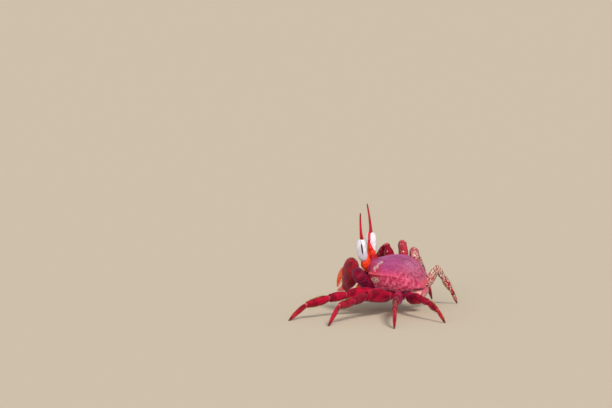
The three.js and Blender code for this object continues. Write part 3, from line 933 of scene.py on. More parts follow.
skin = shield.covered(
    # The pink of the walls is their own colour, painted lighter to stand in for light thrown up from the ground.
    shield.mixed(area["back"], shield.mixed(veined, "c22a50", "ee6c90"), back_skin),
    (coarse.between(0.56, 0.66) * lower * 0.5, "a0123a"),
    ((1 - coarse.between(0.32, 0.4)) * lower * 0.5, "f7a2b8"),
    # The edge coat is the shell's own crimson, made stronger on the right side as painted light.
    (area["edge"] * 0.75, "b80c38"),
    # The crimson coats of the face and front shoulders are painted shade.
    (area["face"] * 0.8, "960a2a"),
    (area["shoulder"] * (0.5 + veins * 1.1), "98062e"),
    # The lavender coat is a painted sky reflection on the hind back.
    (area["bloom"] * (0.1 + clouds * 0.5), "b493c4"),
    (area["hem"] * 0.65, "d8402c"),
    (area["inner"], "d98a7c"),
    (area["hollow"] * 0.5, "7c1f50"),
    (specks.between(0.56, 0.74) * 0.4, "e38aaa"),
    (area["stud"] * 0.45, "d65c8c"),
    (area["margin"] * (0.25 + clouds * 0.75), "e8604a"),
    (sandy, sand_colour),
)
shield.feed("Base Color", skin)
shield.feed("Roughness", 0.38 + specks * 0.2 + sandy * 0.3)
pits = (1 - shield.cells(0.4).between(0, 0.75)) * 0.6
shield.raise_by(pits + specks * 0.6 + veins * 0.4 + coarse * 0.8 + sandy * 2.5, 0.06)


def finish_piece(piece, finish, slot, *nodes):
    """Gives a piece its material, ties it to the root body and hides the solids that it stands for; slot is not
    used.
    """
    piece.data.materials.clear()
    piece.data.materials.append(finish.material)
    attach(piece, "root")
    if nodes:
        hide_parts(*nodes)


finish_piece(carapace, shield, "shell", "carapace")
print("shield triangles:", sum(len(f.vertices) - 2 for f in carapace.data.polygons))

# %% [markdown]
# ## Segments of limbs
#
# A limb is a chain of stiff tubes. Each tube starts with a narrow neck of soft pale skin that sits in a
# hollow at the end of the tube before it, widens at a shoulder, and ends in a thickened lip round its own
# hollow. The tube between neck and lip takes its sections from the solid.


# %% A segment with neck, shoulder, lip and hollow
def directions(start, end, across=None):
    """Unit vectors along a segment, across it and up."""
    way = unit(end - start)
    if across is None:
        across = np.cross([0, 0, 1], way)
    across = unit(across - way * (across @ way))
    return way, across, np.cross(way, across)


def share_along(places, start, end):
    """How far along a segment places lie, from 0 at its start to 1 at its end."""
    return (places - start) @ unit(end - start) / np.linalg.norm(end - start)


SHARES = (0.12, 0.3, 0.5, 0.7, 0.88)


def segment(node, start, end, outline, shares=SHARES, fuller=None, across=None, neck=0.7, lip=1.02, levels=2):
    """Lofts a segment over its solid, cut at shares of its length.

    neck and lip are sizes against the nearest section. fuller gives, for a share of the length, how much
    wider than the solid the segment is.
    """
    lines, length = directions(start, end, across), np.linalg.norm(end - start)
    shares = np.array(shares)
    extra = fuller(shares) if fuller else 0
    scale = 1.03 * (1 + extra), 1.03 * (1 + extra / 3)
    to_start, to_end = shares[0] * length, (1 - shares[-1]) * length
    collar = (
        (-to_start - 0.9 * MM, neck * 0.8),
        (-to_start + 0.1 * MM, neck),
        (-to_start * 0.75, neck * 1.12),
        (-to_start * 0.5, 0.95),
    )
    cuff = (
        (to_end * 0.5, 1.0),
        (to_end * 0.85, lip),
        (to_end, lip * 0.9),
        (to_end - 0.1 * MM, lip * 0.76),
        (to_end - 0.8 * MM, 0.6),
    )
    return plate(node, outline, start, lines, length * shares, scale, collar, cuff, levels)


def wrinkled(piece, start, end, sizes, depth, seed=0):
    """Presses soft wrinkles into a piece. sizes are their millimetres across, up and along the segment."""
    way, across, up = directions(start, end)
    turned = Matrix([list(across), list(up), list(way)]).transposed().to_4x4()
    handle = bpy.data.objects.new("wrinkle_handle", None)
    bpy.context.scene.collection.objects.link(handle)
    stretch = Matrix.Diagonal((*[size * MM for size in sizes], 1))
    handle.matrix_world = Matrix.Translation(Vector(start + way * seed * 0.01)) @ turned @ stretch
    bpy.context.view_layer.update()
    clouds = bpy.data.textures.new("wrinkle_clouds", "CLOUDS")
    clouds.noise_scale = clouds.noise_depth = 1
    by_handle = {"texture_coords": "OBJECT", "texture_coords_object": handle}
    apply_modifier(piece, "DISPLACE", strength=depth * MM, mid_level=0.5, texture=clouds, **by_handle)
    bpy.data.objects.remove(handle)
    bpy.data.textures.remove(clouds)


def blade(degrees):
    """Flat sides, a keel on top and two low edges underneath."""
    a = math.radians(degrees)
    flat = (abs(math.cos(a)) ** 2.5 + abs(math.sin(a)) ** 2.5) ** (-1 / 2.5)
    keel = 0.06 * math.exp(-(((degrees - 90) / 16) ** 2))
    edges = 0.07 * math.exp(-(((abs(degrees - 270) - 34) / 14) ** 2))
    return flat * 0.97 + keel + edges


def fluted(depth, ribs):
    """A round section with a number of ribs."""
    return lambda degrees: 1.0 - depth * (0.5 - 0.5 * math.cos(math.radians(degrees * ribs)))


BLADE = section(16, blade)
RIBBED = section(16, fluted(0.07, 4))
FLUTED = section(16, fluted(0.2, 8))
print("sections of", len(BLADE), "points")

# %% [markdown]
# ## Finishes of the limbs
#
# The legs are crimson, the claws darker with coarse pink grains. A limb's base shows pale salmon skin, and
# the colour deepens towards the far joint. The fingers turn from the crimson of the palm to orange, and to
# cream at their tips. All of them have the same glaze: a soft sheen of sky at the edges, and a tint for
# reflections seen straight on.

# %% The finishes of legs and claws
GLAZE = {"Sheen_Roughness": 0.35, "Sheen_Tint": "8c6ad8", "Specular_Tint": "ff8090"}
limb_shell = shell_finish("limb_shell", "6c061c", "aa0c2c", "c8244a", "c83c5c", "b85458")
claw_shell = shell_finish("claw_shell", "480218", "7a0420", "8c1048", "a42c50", "7c1630", roughness=0.34)
foot_horn = shell_finish("foot_horn", "6c061c", "ae0e30", "cc2a50", "cc4266", "c4625c", roughness=0.34)
skin = Amount(foot_horn, foot_horn.shader.inputs["Base Color"].links[0].from_socket)
foot_horn.feed("Base Color", foot_horn.mixed(foot_horn.noted("tip") * 0.85, skin, "4a1512"))

fingers = Finish("finger_horn", Coat_Weight=0.06, Coat_Roughness=0.15, Specular_IOR_Level=0.25)
for finish, weight in ((limb_shell, 0.15), (claw_shell, 0.35), (foot_horn, 0.15), (fingers, 0.2)):
    finish.fix(Sheen_Weight=weight, **GLAZE)
grain = fingers.mottle(0.9, 3.0, (1, 1, 0.5))
clouds = fingers.mottle(3.0, 3.0)
on_palm = fingers.noted("palm")
shell = fingers.mixed(clouds.between(0.38, 0.62), "540114", "8a041c")
skin = fingers.covered(
    fingers.mixed(grain.between(0.35, 0.65), "e03c02", "fa640a"),
    (on_palm, fingers.mixed(grain.between(0.52, 0.75) * 0.5, shell, "a41438")),
    (fingers.noted("tip"), "f3dcc0"),
    (fingers.noted("stud") * on_palm * 0.5, "b43430"),
    (fingers.noted("tooth") * 0.8, "f6e3cc"),
)
fingers.feed("Base Color", skin)
fingers.feed("Roughness", 0.27 + grain * 0.14)
pits = on_palm * (1 - fingers.cells(0.4).between(0.0, 0.75))
fingers.raise_by(grain * 0.6 + fingers.mottle(0.3) * 0.5 + pits * 0.7, 0.06)
print("finishes:", [m.name for m in bpy.data.materials if m.name.endswith(("shell", "horn"))])

# %% [markdown]
# ## The walking legs
#
# Each leg has a round base under the shell, a long blade-like first segment, a short knee, a ribbed shin
# and a fluted claw that it stands on. The joints are found from the solids: where one ends and the next
# starts. Beads follow the keel of the blade, and its sides carry cross wrinkles. The four numbers of a right
# leg say how sandy it is, how much fuller its knee, how much painted shade darkens it and how pale its knee.

# %% Joints of a leg
HIP_OUT, HIP_REACH, HIP_LEVEL, HIP_RISE = 8.4, 8.4, -15.2, 0.4
HIP_PLACE = {"1": -5.6, "2": -0.2, "3": 5.2, "4": 10.2}
FIRST_FAN, FAN_SPREAD = -2.2, 5.4
BASE_WIDE, BASE_HIGH = 2.55, 2.9
# The third number of a leg is painted shade that darkens the whole leg.
RIGHT_LEGS = {"1": (0.2, 0.3, 0.6, 0), "2": (0.3, 0.3, 0, 0.3), "3": (0.5, 0.3, 0, 0.75), "4": (0.9, 0, 0, 0)}


def leg_joints(word, number):
    side, hip = SIDES[word], HIP_PLACE[number]
    fan = FIRST_FAN + FAN_SPREAD * (hip + 5.6) / 15.8
    hip_socket = (side * (HIP_OUT + HIP_REACH), hip + fan, HIP_LEVEL + HIP_RISE)
    root, socket = on_body([(side * HIP_OUT, hip, HIP_LEVEL), hip_socket])
    leg = f"leg_{word}_{number}_"
    knee = long_line(leg + "carpus", socket)[0]
    ankle = long_line(leg + "propodus", knee)[0]
    heel, tip = long_line(leg + "dactylus", ankle)
    return root, socket, knee, ankle, heel, tip


def edge_row(depth, node, start, end, angle, count, span=(0.14, 0.9), across=None):
    """Places and outward directions in a row along a segment, at an angle round its section.

    depth is how far out the places lie, with 1 on the solid's skin.
    """
    way, across, up = directions(start, end, across)
    aside, above = math.cos(math.radians(angle)), math.sin(math.radians(angle))
    distances = np.linalg.norm(end - start) * np.linspace(*span, count)
    rings = cuts(node, start, (way, across, up), distances, 1, 1)
    points = [ring[0] + (across * ring[3] * aside + up * ring[4] * above) * depth for ring in rings]
    return np.array(points), np.tile(unit(across * aside + up * above), (count, 1))


def leg_base(name, root, socket):
    """The two short segments between the belly and the leg."""
    way, across, up = directions(root, socket)
    length = np.linalg.norm(socket - root)
    stations = ((-0.2, 0.8), (0.0, 0.95), (0.3, 1.06), (0.5, 1.04), (0.56, 0.84), (0.62, 0.98), (0.85, 1.0))
    stations += ((1.0, 0.9), (1.1, 0.6), (1.12, 0.3))
    rings = [[root + way * length * s, across, up, BASE_WIDE * k * MM, BASE_HIGH * k * MM] for s, k in stations]
    return loft(name, RIBBED, rings)


print("knee of the third right leg, mm:", np.round(leg_joints("right", "3")[2] / MM, 1))

# %% [markdown]
# All eight legs have the same parts, but each is bent in its own way, so one leg copied and turned would
# not do. One function builds any leg from its own solids. The pose is then right for each, while ribs,
# wrinkles, beads and colours stay alike.

# %% Building the eight legs
MERUS_SHARES = (0.16, 0.26, 0.4, 0.55, 0.7, 0.84, 0.93)
CARPUS_SHARES = (0.2, 0.35, 0.55, 0.75, 0.88)
FOOT_SHARES = (0.1, 0.2, 0.35, 0.5, 0.65, 0.78, 0.88, 0.95)


def walking_leg(word, number):
    leg = f"leg_{word}_{number}_"
    # The third number darkens the whole leg as painted shade.
    sandy, full_knee, painted_shade, pale_knee = RIGHT_LEGS[number] if word == "right" else (0, 0, 0, 0)
    root, socket, knee, ankle, heel, tip = leg_joints(word, number)
    seed = int(number) * 10 + (word == "left")
    base = leg_base(leg + "base_plate", root, socket)
    to_knee = lambda share: full_knee * ease(share, 0.3, 0.85)
    merus = segment(leg + "merus", socket, knee, BLADE, MERUS_SHARES, to_knee, levels=3)
    wrinkled(merus, socket, knee, (3.0, 3.0, 0.75), 0.3, seed)
    keel = edge_row(1.0, leg + "merus", socket, knee, 90, 26)
    low = [edge_row(0.98, leg + "merus", socket, knee, angle, 18) for angle in (236, 304)]
    keel_beads = copies("keel", DOME, *keel, 0.3 * MM, 0.3 * MM)
    low_beads = copies("low", DOME, *map(np.concatenate, zip(*low)), 0.2 * MM, 0.25 * MM)
    join_marked(merus, keel_beads, low_beads)
    past_knee = lambda share: full_knee * (1 - ease(share, 0.3, 0.9))
    carpus = segment(leg + "carpus", knee, ankle, RIBBED, CARPUS_SHARES, past_knee)
    wrinkled(carpus, knee, ankle, (2.0, 2.0, 0.9), 0.2, seed)
    propodus = segment(leg + "propodus", ankle, heel, RIBBED)
    wrinkled(propodus, ankle, heel, (1.2, 1.2, 3.0), 0.16, seed)
    foot = foot_claw(leg + "dactylus", heel, tip)
    for piece, solid, start, end in (
        (base, None, root, socket),
        (merus, "merus", socket, knee),
        (carpus, "carpus", knee, ankle),
        (propodus, "propodus", ankle, heel),
        (foot, "dactylus", heel, tip),
    ):
        share = share_along(places_of(piece), start, end)
        height = places_of(piece)[:, 2] / MM
        if solid:
            note(piece, base=np.maximum(1 - ease(share, 0.02, 0.1), pale_knee * ease(height, 26, 38)))
        # Darker at the far joint, and over the whole leg where it gets painted shade.
        note(piece, hollow=np.maximum(ease(share, 0.95, 1.0) * 0.6, painted_shade))
        note(piece, dust=sandy * (0.55 + 0.45 * ease(height, 8, 30)))
        finish = foot_horn if solid == "dactylus" else limb_shell
        finish_piece(piece, finish, "limb", *([leg + solid] if solid else []))


def foot_claw(node, heel, tip):
    """The claw that the leg stands on: fluted, a little bowed, cut flat where it meets the ground."""
    lines, length = directions(heel, tip), np.linalg.norm(tip - heel)
    collar = (-0.1 * length - 0.8 * MM, 0.5), (-0.1 * length, 0.62), (-0.05 * length, 0.9)
    point = [(0.045 * length, 0.75)]
    piece = plate(node, FLUTED, heel, lines, length * np.array(FOOT_SHARES), (1.1, 1.08), collar, point)
    places = places_of(piece)
    places[:, 2] = np.maximum(places[:, 2], 0)
    move_to(piece, places)
    note(piece, tip=ease(share_along(places, heel, tip), 0.7, 0.98))
    return piece


for word in SIDES:
    for number in HIP_PLACE:
        walking_leg(word, number)
leg_plates = [thing for thing in bpy.data.objects if thing.name.startswith("leg_") and "plate" in thing.name]
print("leg pieces:", len(leg_plates))

# %% [markdown]
# ## The claws
#
# The left claw is the big one, folded in front of the mouth. Its palm is a deep, flat box of shell that
# narrows into the fixed finger, so palm and finger are one loft. The other finger is a curved horn hinged on
# top. Both carry rounded teeth on their inner edges. Coarse grains cover the palm and the wrist.

# %% Places and directions of the claws
CLAWS = {
    "left": {
        "hip": (9, -10.4, -13.6), "elbow": (21.2, -17.2, -6.2), "wrist": (15.8, -22.6, -1.4), "roll": 6,
        "aim": (-0.74, -0.59, -0.32), "palm": 20, "finger": 18, "deep": 18.8, "grain": 0.4, "teeth": 15,
    },
    "right": {
        "hip": (-9, -10.4, -13.6), "elbow": (-17.5, -19, -7.5), "wrist": (-14, -24.6, -5.6), "roll": -10,
        "aim": (0.75, -0.15, -0.64), "palm": 12.6, "finger": 12, "deep": 9.6, "grain": 0.24, "teeth": 11,
    },
}


def claw_directions(plan):
    """The ways along a palm, across it and up, and the place of its wrist."""
    aim = unit(plan["aim"])
    upright = unit(np.array([0, 0, 1]) - aim * aim[2])
    upright = np.array(Matrix.Rotation(math.radians(plan["roll"]), 3, Vector(aim)) @ Vector(upright))
    return aim, np.cross(upright, aim), upright, BODY + np.array(plan["wrist"]) * MM


print("the big claw is", CLAWS["left"]["palm"] + CLAWS["left"]["finger"], "mm long")

# %% [markdown]
# Palm and fixed finger have no seam on the animal, so the sections of one loft run from the wrist to the
# tip, closest where the gape begins. The teeth could be pushed out of the edge, but would then look like
# waves. They are beads standing in a row, each sunk a little into the finger.

# %% Palm, fingers and teeth
PALM_SHARES = (0.04, 0.1, 0.2, 0.32, 0.43, 0.49, 0.52, 0.56, 0.62, 0.7, 0.8, 0.88, 0.94, 0.98)
FINGER_SHARES = (0.14, 0.22, 0.32, 0.45, 0.58, 0.7, 0.8, 0.88, 0.94, 0.97)


def toothed(piece, plan, row, size, wave):
    """Joins a row of rounded teeth to a finger, uneven in size and smaller towards its tip."""
    points, outward = row
    sizes = plan["grain"] * MM * (size + 0.5 * np.sin(wave)) * np.linspace(1.15, 0.6, len(points))
    join_marked(piece, copies("teeth", BEAD, points, outward, sizes, sizes * 1.25), mark="tooth")


def palm(word, plan):
    node = f"claw_{word}_palm"
    aim, across, upright, wrist = claw_directions(plan)
    length = (plan["palm"] + plan["finger"]) * MM
    lines, distances = (aim, across, upright), length * np.array(PALM_SHARES)
    collar = (-0.04 * length - 0.6 * MM, 0.4), (-0.03 * length, 0.62), (-0.02 * length, 0.88)
    piece = plate(node, BLADE, wrist, lines, distances, (1.03, 1.02), collar, [(0.018 * length, 0.6)], 3)
    wrinkled(piece, wrist, wrist + aim, (2.4, 2.4, 2.4), 0.25)
    is_palm = lambda points: 1 - ease((points - wrist) @ aim / MM, plan["palm"] - 1.5, plan["palm"] + 2.5)
    studded(piece, plan["grain"] * 2.0 * MM, plan["grain"] * MM, 21, lambda p, out: is_palm(p) * 0.9)
    count = plan["teeth"]
    row = edge_row(0.96, node, wrist, wrist + aim * length, 90, count, (0.58, 0.96), across)
    toothed(piece, plan, row, 1.3, np.arange(count) * 1.9)
    places = places_of(piece)
    note(piece, palm=is_palm(places), tip=ease((places - wrist) @ aim / length, 0.92, 1.0) * 0.8)
    finish_piece(piece, fingers, "claw", node)


def moving_finger(word, plan):
    node = f"claw_{word}_finger"
    aim, across, upright, wrist = claw_directions(plan)
    deep = plan["deep"] / 2
    start = wrist + (aim * (plan["palm"] - 1) + upright * deep * 0.34) * MM
    end = wrist + (aim * (plan["palm"] + plan["finger"]) - upright * deep * 0.34) * MM
    way, length = unit(end - start), np.linalg.norm(end - start)
    lines, distances = (way, across, np.cross(way, across)), length * np.array(FINGER_SHARES)
    collar = (-0.1 * length, 0.6), (-0.05 * length, 0.85)
    piece = plate(node, RIBBED, start, lines, distances, (1.05, 1.03), collar, [(0.02 * length, 0.6)])
    wrinkled(piece, start, end, (1.4, 1.4, 5.0), 0.25)
    count = plan["teeth"]
    row = edge_row(0.95, node, start, end, 270, count, (0.2, 0.94), across)
    toothed(piece, plan, row, 1.2, np.arange(count) * 2.3 + 1)
    share = share_along(places_of(piece), start, end)
    note(piece, palm=(1 - ease(share, 0.0, 0.2)) * 0.8, tip=ease(share, 0.88, 1.0) * 0.8)
    finish_piece(piece, fingers, "fingertip", node)


def claw_arm(word, plan):
    claw = f"claw_{word}_"
    _, across, _, wrist = claw_directions(plan)
    hip, elbow = on_body([plan["hip"]])[0], BODY + np.array(plan["elbow"]) * MM
    root = hip + unit(hip - elbow) * 1.5 * MM
    base = leg_base(claw + "base_plate", root, hip + (elbow - hip) * 0.3)
    merus = segment(claw + "merus", hip, elbow, BLADE, (0.3, 0.45, 0.6, 0.75, 0.88), lip=0.97)
    looks = {"across": across, "neck": 0.8, "lip": 1.0, "levels": 3}
    carpus = segment(claw + "carpus", elbow, wrist, RIBBED, (0.14, 0.3, 0.5, 0.7, 0.84), **looks)
    for piece, start, end, slot, nodes in (
        (base, root, hip, "limb", []),
        (merus, hip, elbow, "limb", [claw + "merus"]),
        (carpus, elbow, wrist, "claw", [claw + "carpus"]),
    ):
        wrinkled(piece, start, end, (2.0, 2.0, 1.2), 0.2)
        studded(piece, plan["grain"] * 2.4 * MM, plan["grain"] * 0.8 * MM, 31)
        note(piece, base=(1 - ease(share_along(places_of(piece), start, end), 0.0, 0.12)) * len(nodes))
        finish_piece(piece, claw_shell, slot, *nodes)


for word, plan in CLAWS.items():
    claw_arm(word, plan)
    palm(word, plan)
    moving_finger(word, plan)

# %% [markdown]
# ## The eyes
#
# A ghost crab sees from two upright stalks. Each stalk swells at its foot, then narrows to a strip that runs
# up the inner side of a long glassy eye, and ends above it in a pointed horn. Stalk, eye and horn are
# separate pieces that share one upright line and two directions across it, worked out here once for each eye.

# %% Directions of the eyes
EYES = {
    "left": {"out": 20, "horn_out": 12, "horn_ahead": -1, "horn": 17.4, "horn_foot": 1.2, "glass_ahead": 1.8},
    "right": {"out": 0, "horn_out": 0, "horn_ahead": 8, "horn": 18.2, "horn_foot": 0.8, "glass_ahead": 1.2},
}
HINGE_OUT, HINGE_AHEAD, HINGE_LEVEL, EYE_AHEAD = 4.9, -18.2, -2, 2.5


def leaning(side, outwards, ahead):
    """The way up of something that leans out and ahead by some degrees."""
    return unit([side * math.tan(math.radians(outwards)), -math.tan(math.radians(ahead)), 1])


def eye_directions(word):
    """The hinge of an eye, and its ways up, out and ahead."""
    side = SIDES[word]
    up = leaning(side, EYES[word]["out"], EYE_AHEAD)
    hinge = on_body([[side * HINGE_OUT, HINGE_AHEAD, HINGE_LEVEL]])[0]
    ahead = unit(np.array([0, -1, 0]) + up * up[1])
    return hinge, up, np.cross(ahead, up) * -side, ahead


def by_eye(word, places):
    """Real places of millimetres up, out and ahead of an eye's hinge."""
    hinge, up, out, ahead = eye_directions(word)
    return hinge + np.asarray(places, float) @ np.array([up, out, ahead]) * MM


print("left eye leans, degrees:", round(math.degrees(math.acos(eye_directions("left")[1][2])), 1))

# %% [markdown]
# ## Bent tubes
#
# Stalks, horns, feelers and mouthparts are tubes along a bent line. The line passes smoothly through a few
# places, and each ring stands square to it, so the loft only needs those places, and a radius or two half
# sizes at each.


# %% Lofting along a bent line
def curve_through(points, shares):
    """Places on a smooth curve through points, at shares from 0 to 1 of the way."""
    points = np.asarray(points, float)
    known = [2 * points[0] - points[1], *points, 2 * points[-1] - points[-2]]
    made = []
    for share in shares:
        along = min(share, 0.999999) * (len(points) - 1)
        first = int(along)
        f = along - first
        a, b, c, d = known[first : first + 4]
        square = (a - 2.5 * b + 2 * c - d / 2) * f**2
        cube = (1.5 * b - 1.5 * c + d / 2 - a / 2) * f**3
        made.append(b + (c - a) * f / 2 + square + cube)
    return np.array(made)


def tube(name, outline, places, sizes, across, levels=2):
    """Lofts along places. sizes are radii in millimetres, or pairs of half sizes, first the one along across."""
    rings = []
    for place, way, size in zip(places, np.gradient(places, axis=0), sizes):
        wide, high = np.broadcast_to(size, 2) * MM
        way, level, up = directions(0, way, across)
        rings.append([place, level, up, wide, high])
    return loft(name, outline, rings, levels)


def spread_of(shares, stops):
    """Pairs of half sizes at shares of a line, from stops of (share, size across, size the other way)."""
    stops = np.array(stops)
    return np.stack([np.interp(shares, stops[:, 0], stops[:, k]) for k in (1, 2)], axis=1)


print("half way through three places:", curve_through([[0, 0], [1, 1], [2, 0]], [0.5])[0])

# %% [markdown]
# ## Stalks of the eyes
#
# The foot of a stalk is lumpy and orange red. Higher up it turns crimson and is only a strip, broad enough to
# hold the glassy eye like a hand holds a lens. Its sections are given at eleven places up the stalk.

# %% Stalks
STALK_LINE = [
    (-1.2, 0.0, -1.0), (0.6, 0.1, 0.2), (2.6, 0.3, 0.8), (4.6, 0.2, 0.9), (6.4, -0.5, 0.9), (9.0, -1.3, 1.0),
    (11.4, -1.8, 1.2), (13.6, -1.9, 1.5), (16.6, -1.8, 1.5), (19.6, -1.1, 1.3), (21.0, -0.5, 1.2),
]
STALK_SIZES = [
    (1.9, 2.1), (2.7, 2.9), (3.0, 3.3), (2.85, 3.25), (2.4, 2.9),
    (1.8, 2.3), (1.5, 1.5), (1.3, 0.85), (1.2, 0.75), (1.25, 1.2), (0.85, 0.85),
]

stalk_skin = Finish("stalk_skin", Coat_Weight=0.15, Coat_Roughness=0.12, Specular_IOR_Level=0.25)
blotch = stalk_skin.mottle(1.6, 3.0)
fleck = stalk_skin.mottle(0.5, 2.0)
blotched = blotch.between(0.4, 0.62)
skin = stalk_skin.covered(
    stalk_skin.mixed(blotched, "c80e04", "f43e05"),
    (fleck.between(0.56, 0.72) * 0.45, "f9842c"),
    (stalk_skin.noted("height").between(7.0, 13.0), stalk_skin.mixed(blotched, "b20820", "e2162e")),
    (stalk_skin.noted("stud") * 0.3, "f0521e"),
)
stalk_skin.feed("Base Color", skin)
stalk_skin.feed("Roughness", 0.26 + fleck * 0.16)
stalk_skin.raise_by(blotch * 0.6 + fleck * 0.5, 0.09)

for word in SIDES:
    hinge, up, out, ahead = eye_directions(word)
    height_of = lambda points: (points - hinge) @ up / MM
    stalk = tube(f"eye_stalk_{word}_skin", ROUND, by_eye(word, STALK_LINE), STALK_SIZES, out, 3)
    wrinkled(stalk, hinge, hinge + up, (1.7, 1.7, 1.5), 0.75, 3)
    points, outward = sown(stalk, 0.72 * MM, 41, lambda p, o: 1 - ease(height_of(p), 6, 15) * 0.7)
    sizes = np.interp(height_of(points), [0, 5, 9, 20], [0.52, 0.42, 0.2, 0.12]) * MM
    sizes = sizes * np.random.default_rng(42).uniform(0.45, 1.2, len(points))
    join_marked(stalk, copies("lumps", BEAD, points, outward, sizes, sizes * 0.42))
    height = height_of(places_of(stalk))
    note(stalk, height=height if word == "left" else 6 + np.abs(height - 9.5) * 1.5)
    finish_piece(stalk, stalk_skin, "stalk", f"eye_stalk_{word}")
print("lumps on the last stalk:", len(points))

# %% [markdown]
# ## The glassy eyes
#
# The eye itself is a long rounded block, pale as milk glass, set with thousands of lenses too small to see
# one by one. A dark upright slit shows where the lenses look straight back at the viewer. A ball is
# stretched to the blunt block. Each point stores how deep it lies inside a slit, in millimetres, so that the
# material can draw an edge finer than the mesh. There is one slit on the outer side, and one in front.

# %% Eyes and their slits
EYE_FOOT, EYE_LENGTH, EYE_BLUNT = 5.8, 14.8, 3.0
SLIT_HEIGHT, SLIT_REACH, SLIT_WIDE = 0.67, 4.9, 0.54
SLIT_WAYS = {"outer": (0.93, 0.34), "front": (0.12, -1.0)}


def glassy_eye(word):
    hinge, up, out, ahead = eye_directions(word)
    clean_start()
    bpy.ops.mesh.primitive_uv_sphere_add(segments=72, ring_count=56, radius=1)
    piece = bpy.context.object
    piece.name = f"eye_cornea_{word}_glass"
    in_order(piece)
    ball = places_of(piece)
    around = np.arctan2(ball[:, 1], ball[:, 0])
    reach = power(np.hypot(ball[:, 0], ball[:, 1]), 2 / EYE_BLUNT)
    share = 0.5 + power(ball[:, 2], 2 / EYE_BLUNT) / 2
    reach = reach * (1 - 0.16 * (1 - share) ** 2 - 0.05 * share**3)
    outward = 0.9 - 0.5 * share + 0.35 * np.sin(math.pi * share) + 3.15 * reach * power(np.cos(around), 0.9)
    forward = EYES[word]["glass_ahead"] + 3.45 * reach * power(np.sin(around), 0.9)
    move_to(piece, by_eye(word, np.stack([EYE_FOOT + EYE_LENGTH * share, outward, forward], axis=1)))
    face_out(piece)
    bpy.ops.object.shade_smooth()
    inside = []
    for x, y in SLIT_WAYS.values():
        way = np.array([SIDES[word] * x, y, 0])
        aside = around - math.atan2(way @ ahead, way @ out)
        aside = np.abs((aside + math.pi) % (2 * math.pi) - math.pi) * 3.25 * reach
        rise = (share - SLIT_HEIGHT) * EYE_LENGTH / SLIT_REACH
        inside.append(SLIT_WIDE * (1 - rise**2) - aside)
    note(piece, slit=np.maximum(*inside), share=share)
    return piece


glass = Finish("eye_glass", Roughness=0.16, Coat_Weight=0.7, Coat_Roughness=0.05, Specular_IOR_Level=0.6)
slit = glass.noted("slit")
haze = glass.mottle(2.6, 2.0)
bands = glass.mottle(0.7, 2.0, (1, 1, 3))
milk = glass.covered(
    glass.mixed(haze.between(0.38, 0.66), "d2d0e0", "f4f1f5"),
    (bands.between(0.5, 0.8) * 0.35, "b4a8b8"),
    ((1 - glass.noted("share").between(0.0, 0.16)) * 0.7, "c9795e"),
    (slit.between(-1.3, -0.1) * 0.22, "8d8698"),
    (slit.between(-0.05, 0.07), "0c0608"),
)
glass.feed("Base Color", milk)
glass.raise_by(1 - glass.cells(0.16).between(0.0, 0.8), 0.012)

for word in SIDES:
    finish_piece(glassy_eye(word), glass, "cornea", f"eye_cornea_{word}")
print("eye length, mm:", EYE_LENGTH)

# %% [markdown]
# ## The horns above the eyes
#
# The stalk carries on above the eye as a long thin horn, a little bowed, crimson and darker at its tip. It is
# a bent tube with a swollen foot, faint rings as of growth, and grains that fade towards the point.

# %% Horns
HORN_SHARES = [
    -0.05, 0.0, 0.035, 0.07, 0.12, 0.2, 0.28, 0.36, 0.44, 0.52, 0.6, 0.68, 0.76, 0.84, 0.91, 0.96, 0.99, 1.0,
]
HORN_STOPS = [-0.05, 0, 0.05, 0.1, 0.25, 0.5, 0.75, 0.96, 0.99, 1]
HORN_RADII = [0.8, 1.1, 1.25, 1.12, 0.94, 0.76, 0.62, 0.46, 0.34, 0.12]

horn_skin = Finish("horn_skin", Coat_Weight=0.1, Coat_Roughness=0.18, Specular_IOR_Level=0.25)
streak = horn_skin.mottle(0.8, 3.0, (1, 1, 0.3))
skin = horn_skin.covered(
    horn_skin.mixed(streak.between(0.36, 0.64), "900219", "c60828"),
    (horn_skin.noted("stud") * 0.35, "cc3448"),
    (horn_skin.noted("share").between(0.5, 1.0) * 0.75, "5c0812"),
)
horn_skin.feed("Base Color", skin)
horn_skin.feed("Roughness", 0.3 + streak * 0.15)
horn_skin.raise_by(streak, 0.05)

for word, plan in EYES.items():
    up, out = eye_directions(word)[1:3]
    long = plan["horn"] * MM
    foot = by_eye(word, [(20.2, -0.3, plan["horn_foot"])])[0]
    middle = foot + up * 0.4 * long
    tip = foot + leaning(SIDES[word], plan["horn_out"], plan["horn_ahead"]) * long
    line = [foot * (1 - s) ** 2 + middle * 2 * s * (1 - s) + tip * s**2 for s in np.array(HORN_SHARES)]
    rough = 1 + 0.045 * np.cos(np.arange(len(line)) * math.pi)
    radii = np.interp(HORN_SHARES, HORN_STOPS, HORN_RADII) * rough
    horn = tube(f"eye_style_{word}_horn", section(12, fluted(0.06, 6)), line, radii, out)
    share_of = lambda points: (points - foot) @ unit(tip - foot) / long
    studded(horn, 0.5 * MM, 0.16 * MM, 51, lambda p, o: 0.8 - ease(share_of(p), 0.1, 0.9) * 0.75, 0.5)
    note(horn, share=share_of(places_of(horn)))
    finish_piece(horn, horn_skin, "style", f"eye_style_{word}")
print("horns, mm:", [plan["horn"] for plan in EYES.values()])

# %% [markdown]
# ## The belly
#
# Under the body lies the breast plate, of joined plates with a seam between each pair of legs, and the tail,
# a narrow flap of rings folded forward along its middle. Both are pale, touched with pink. Each is one loft
# whose rings draw in at every seam.

# %% Breast plate and tail flap
belly_shell = shell_finish("belly_shell", "b4606c", "dda49c", "efcdbf", "eab4ac", "c8506a", roughness=0.4)
SEAMS = (-8.6, -5.4, -2.9, 2.5, 7.7, 12.0)
BREAST_TOP = -12.6


def breast_section(degrees):
    a = math.radians(degrees)
    flat = (abs(math.cos(a)) ** 3 + abs(math.sin(a)) ** 3) ** (-1 / 3)
    return flat * (1 - 0.1 * math.exp(-(((degrees - 270) / 13) ** 2)))


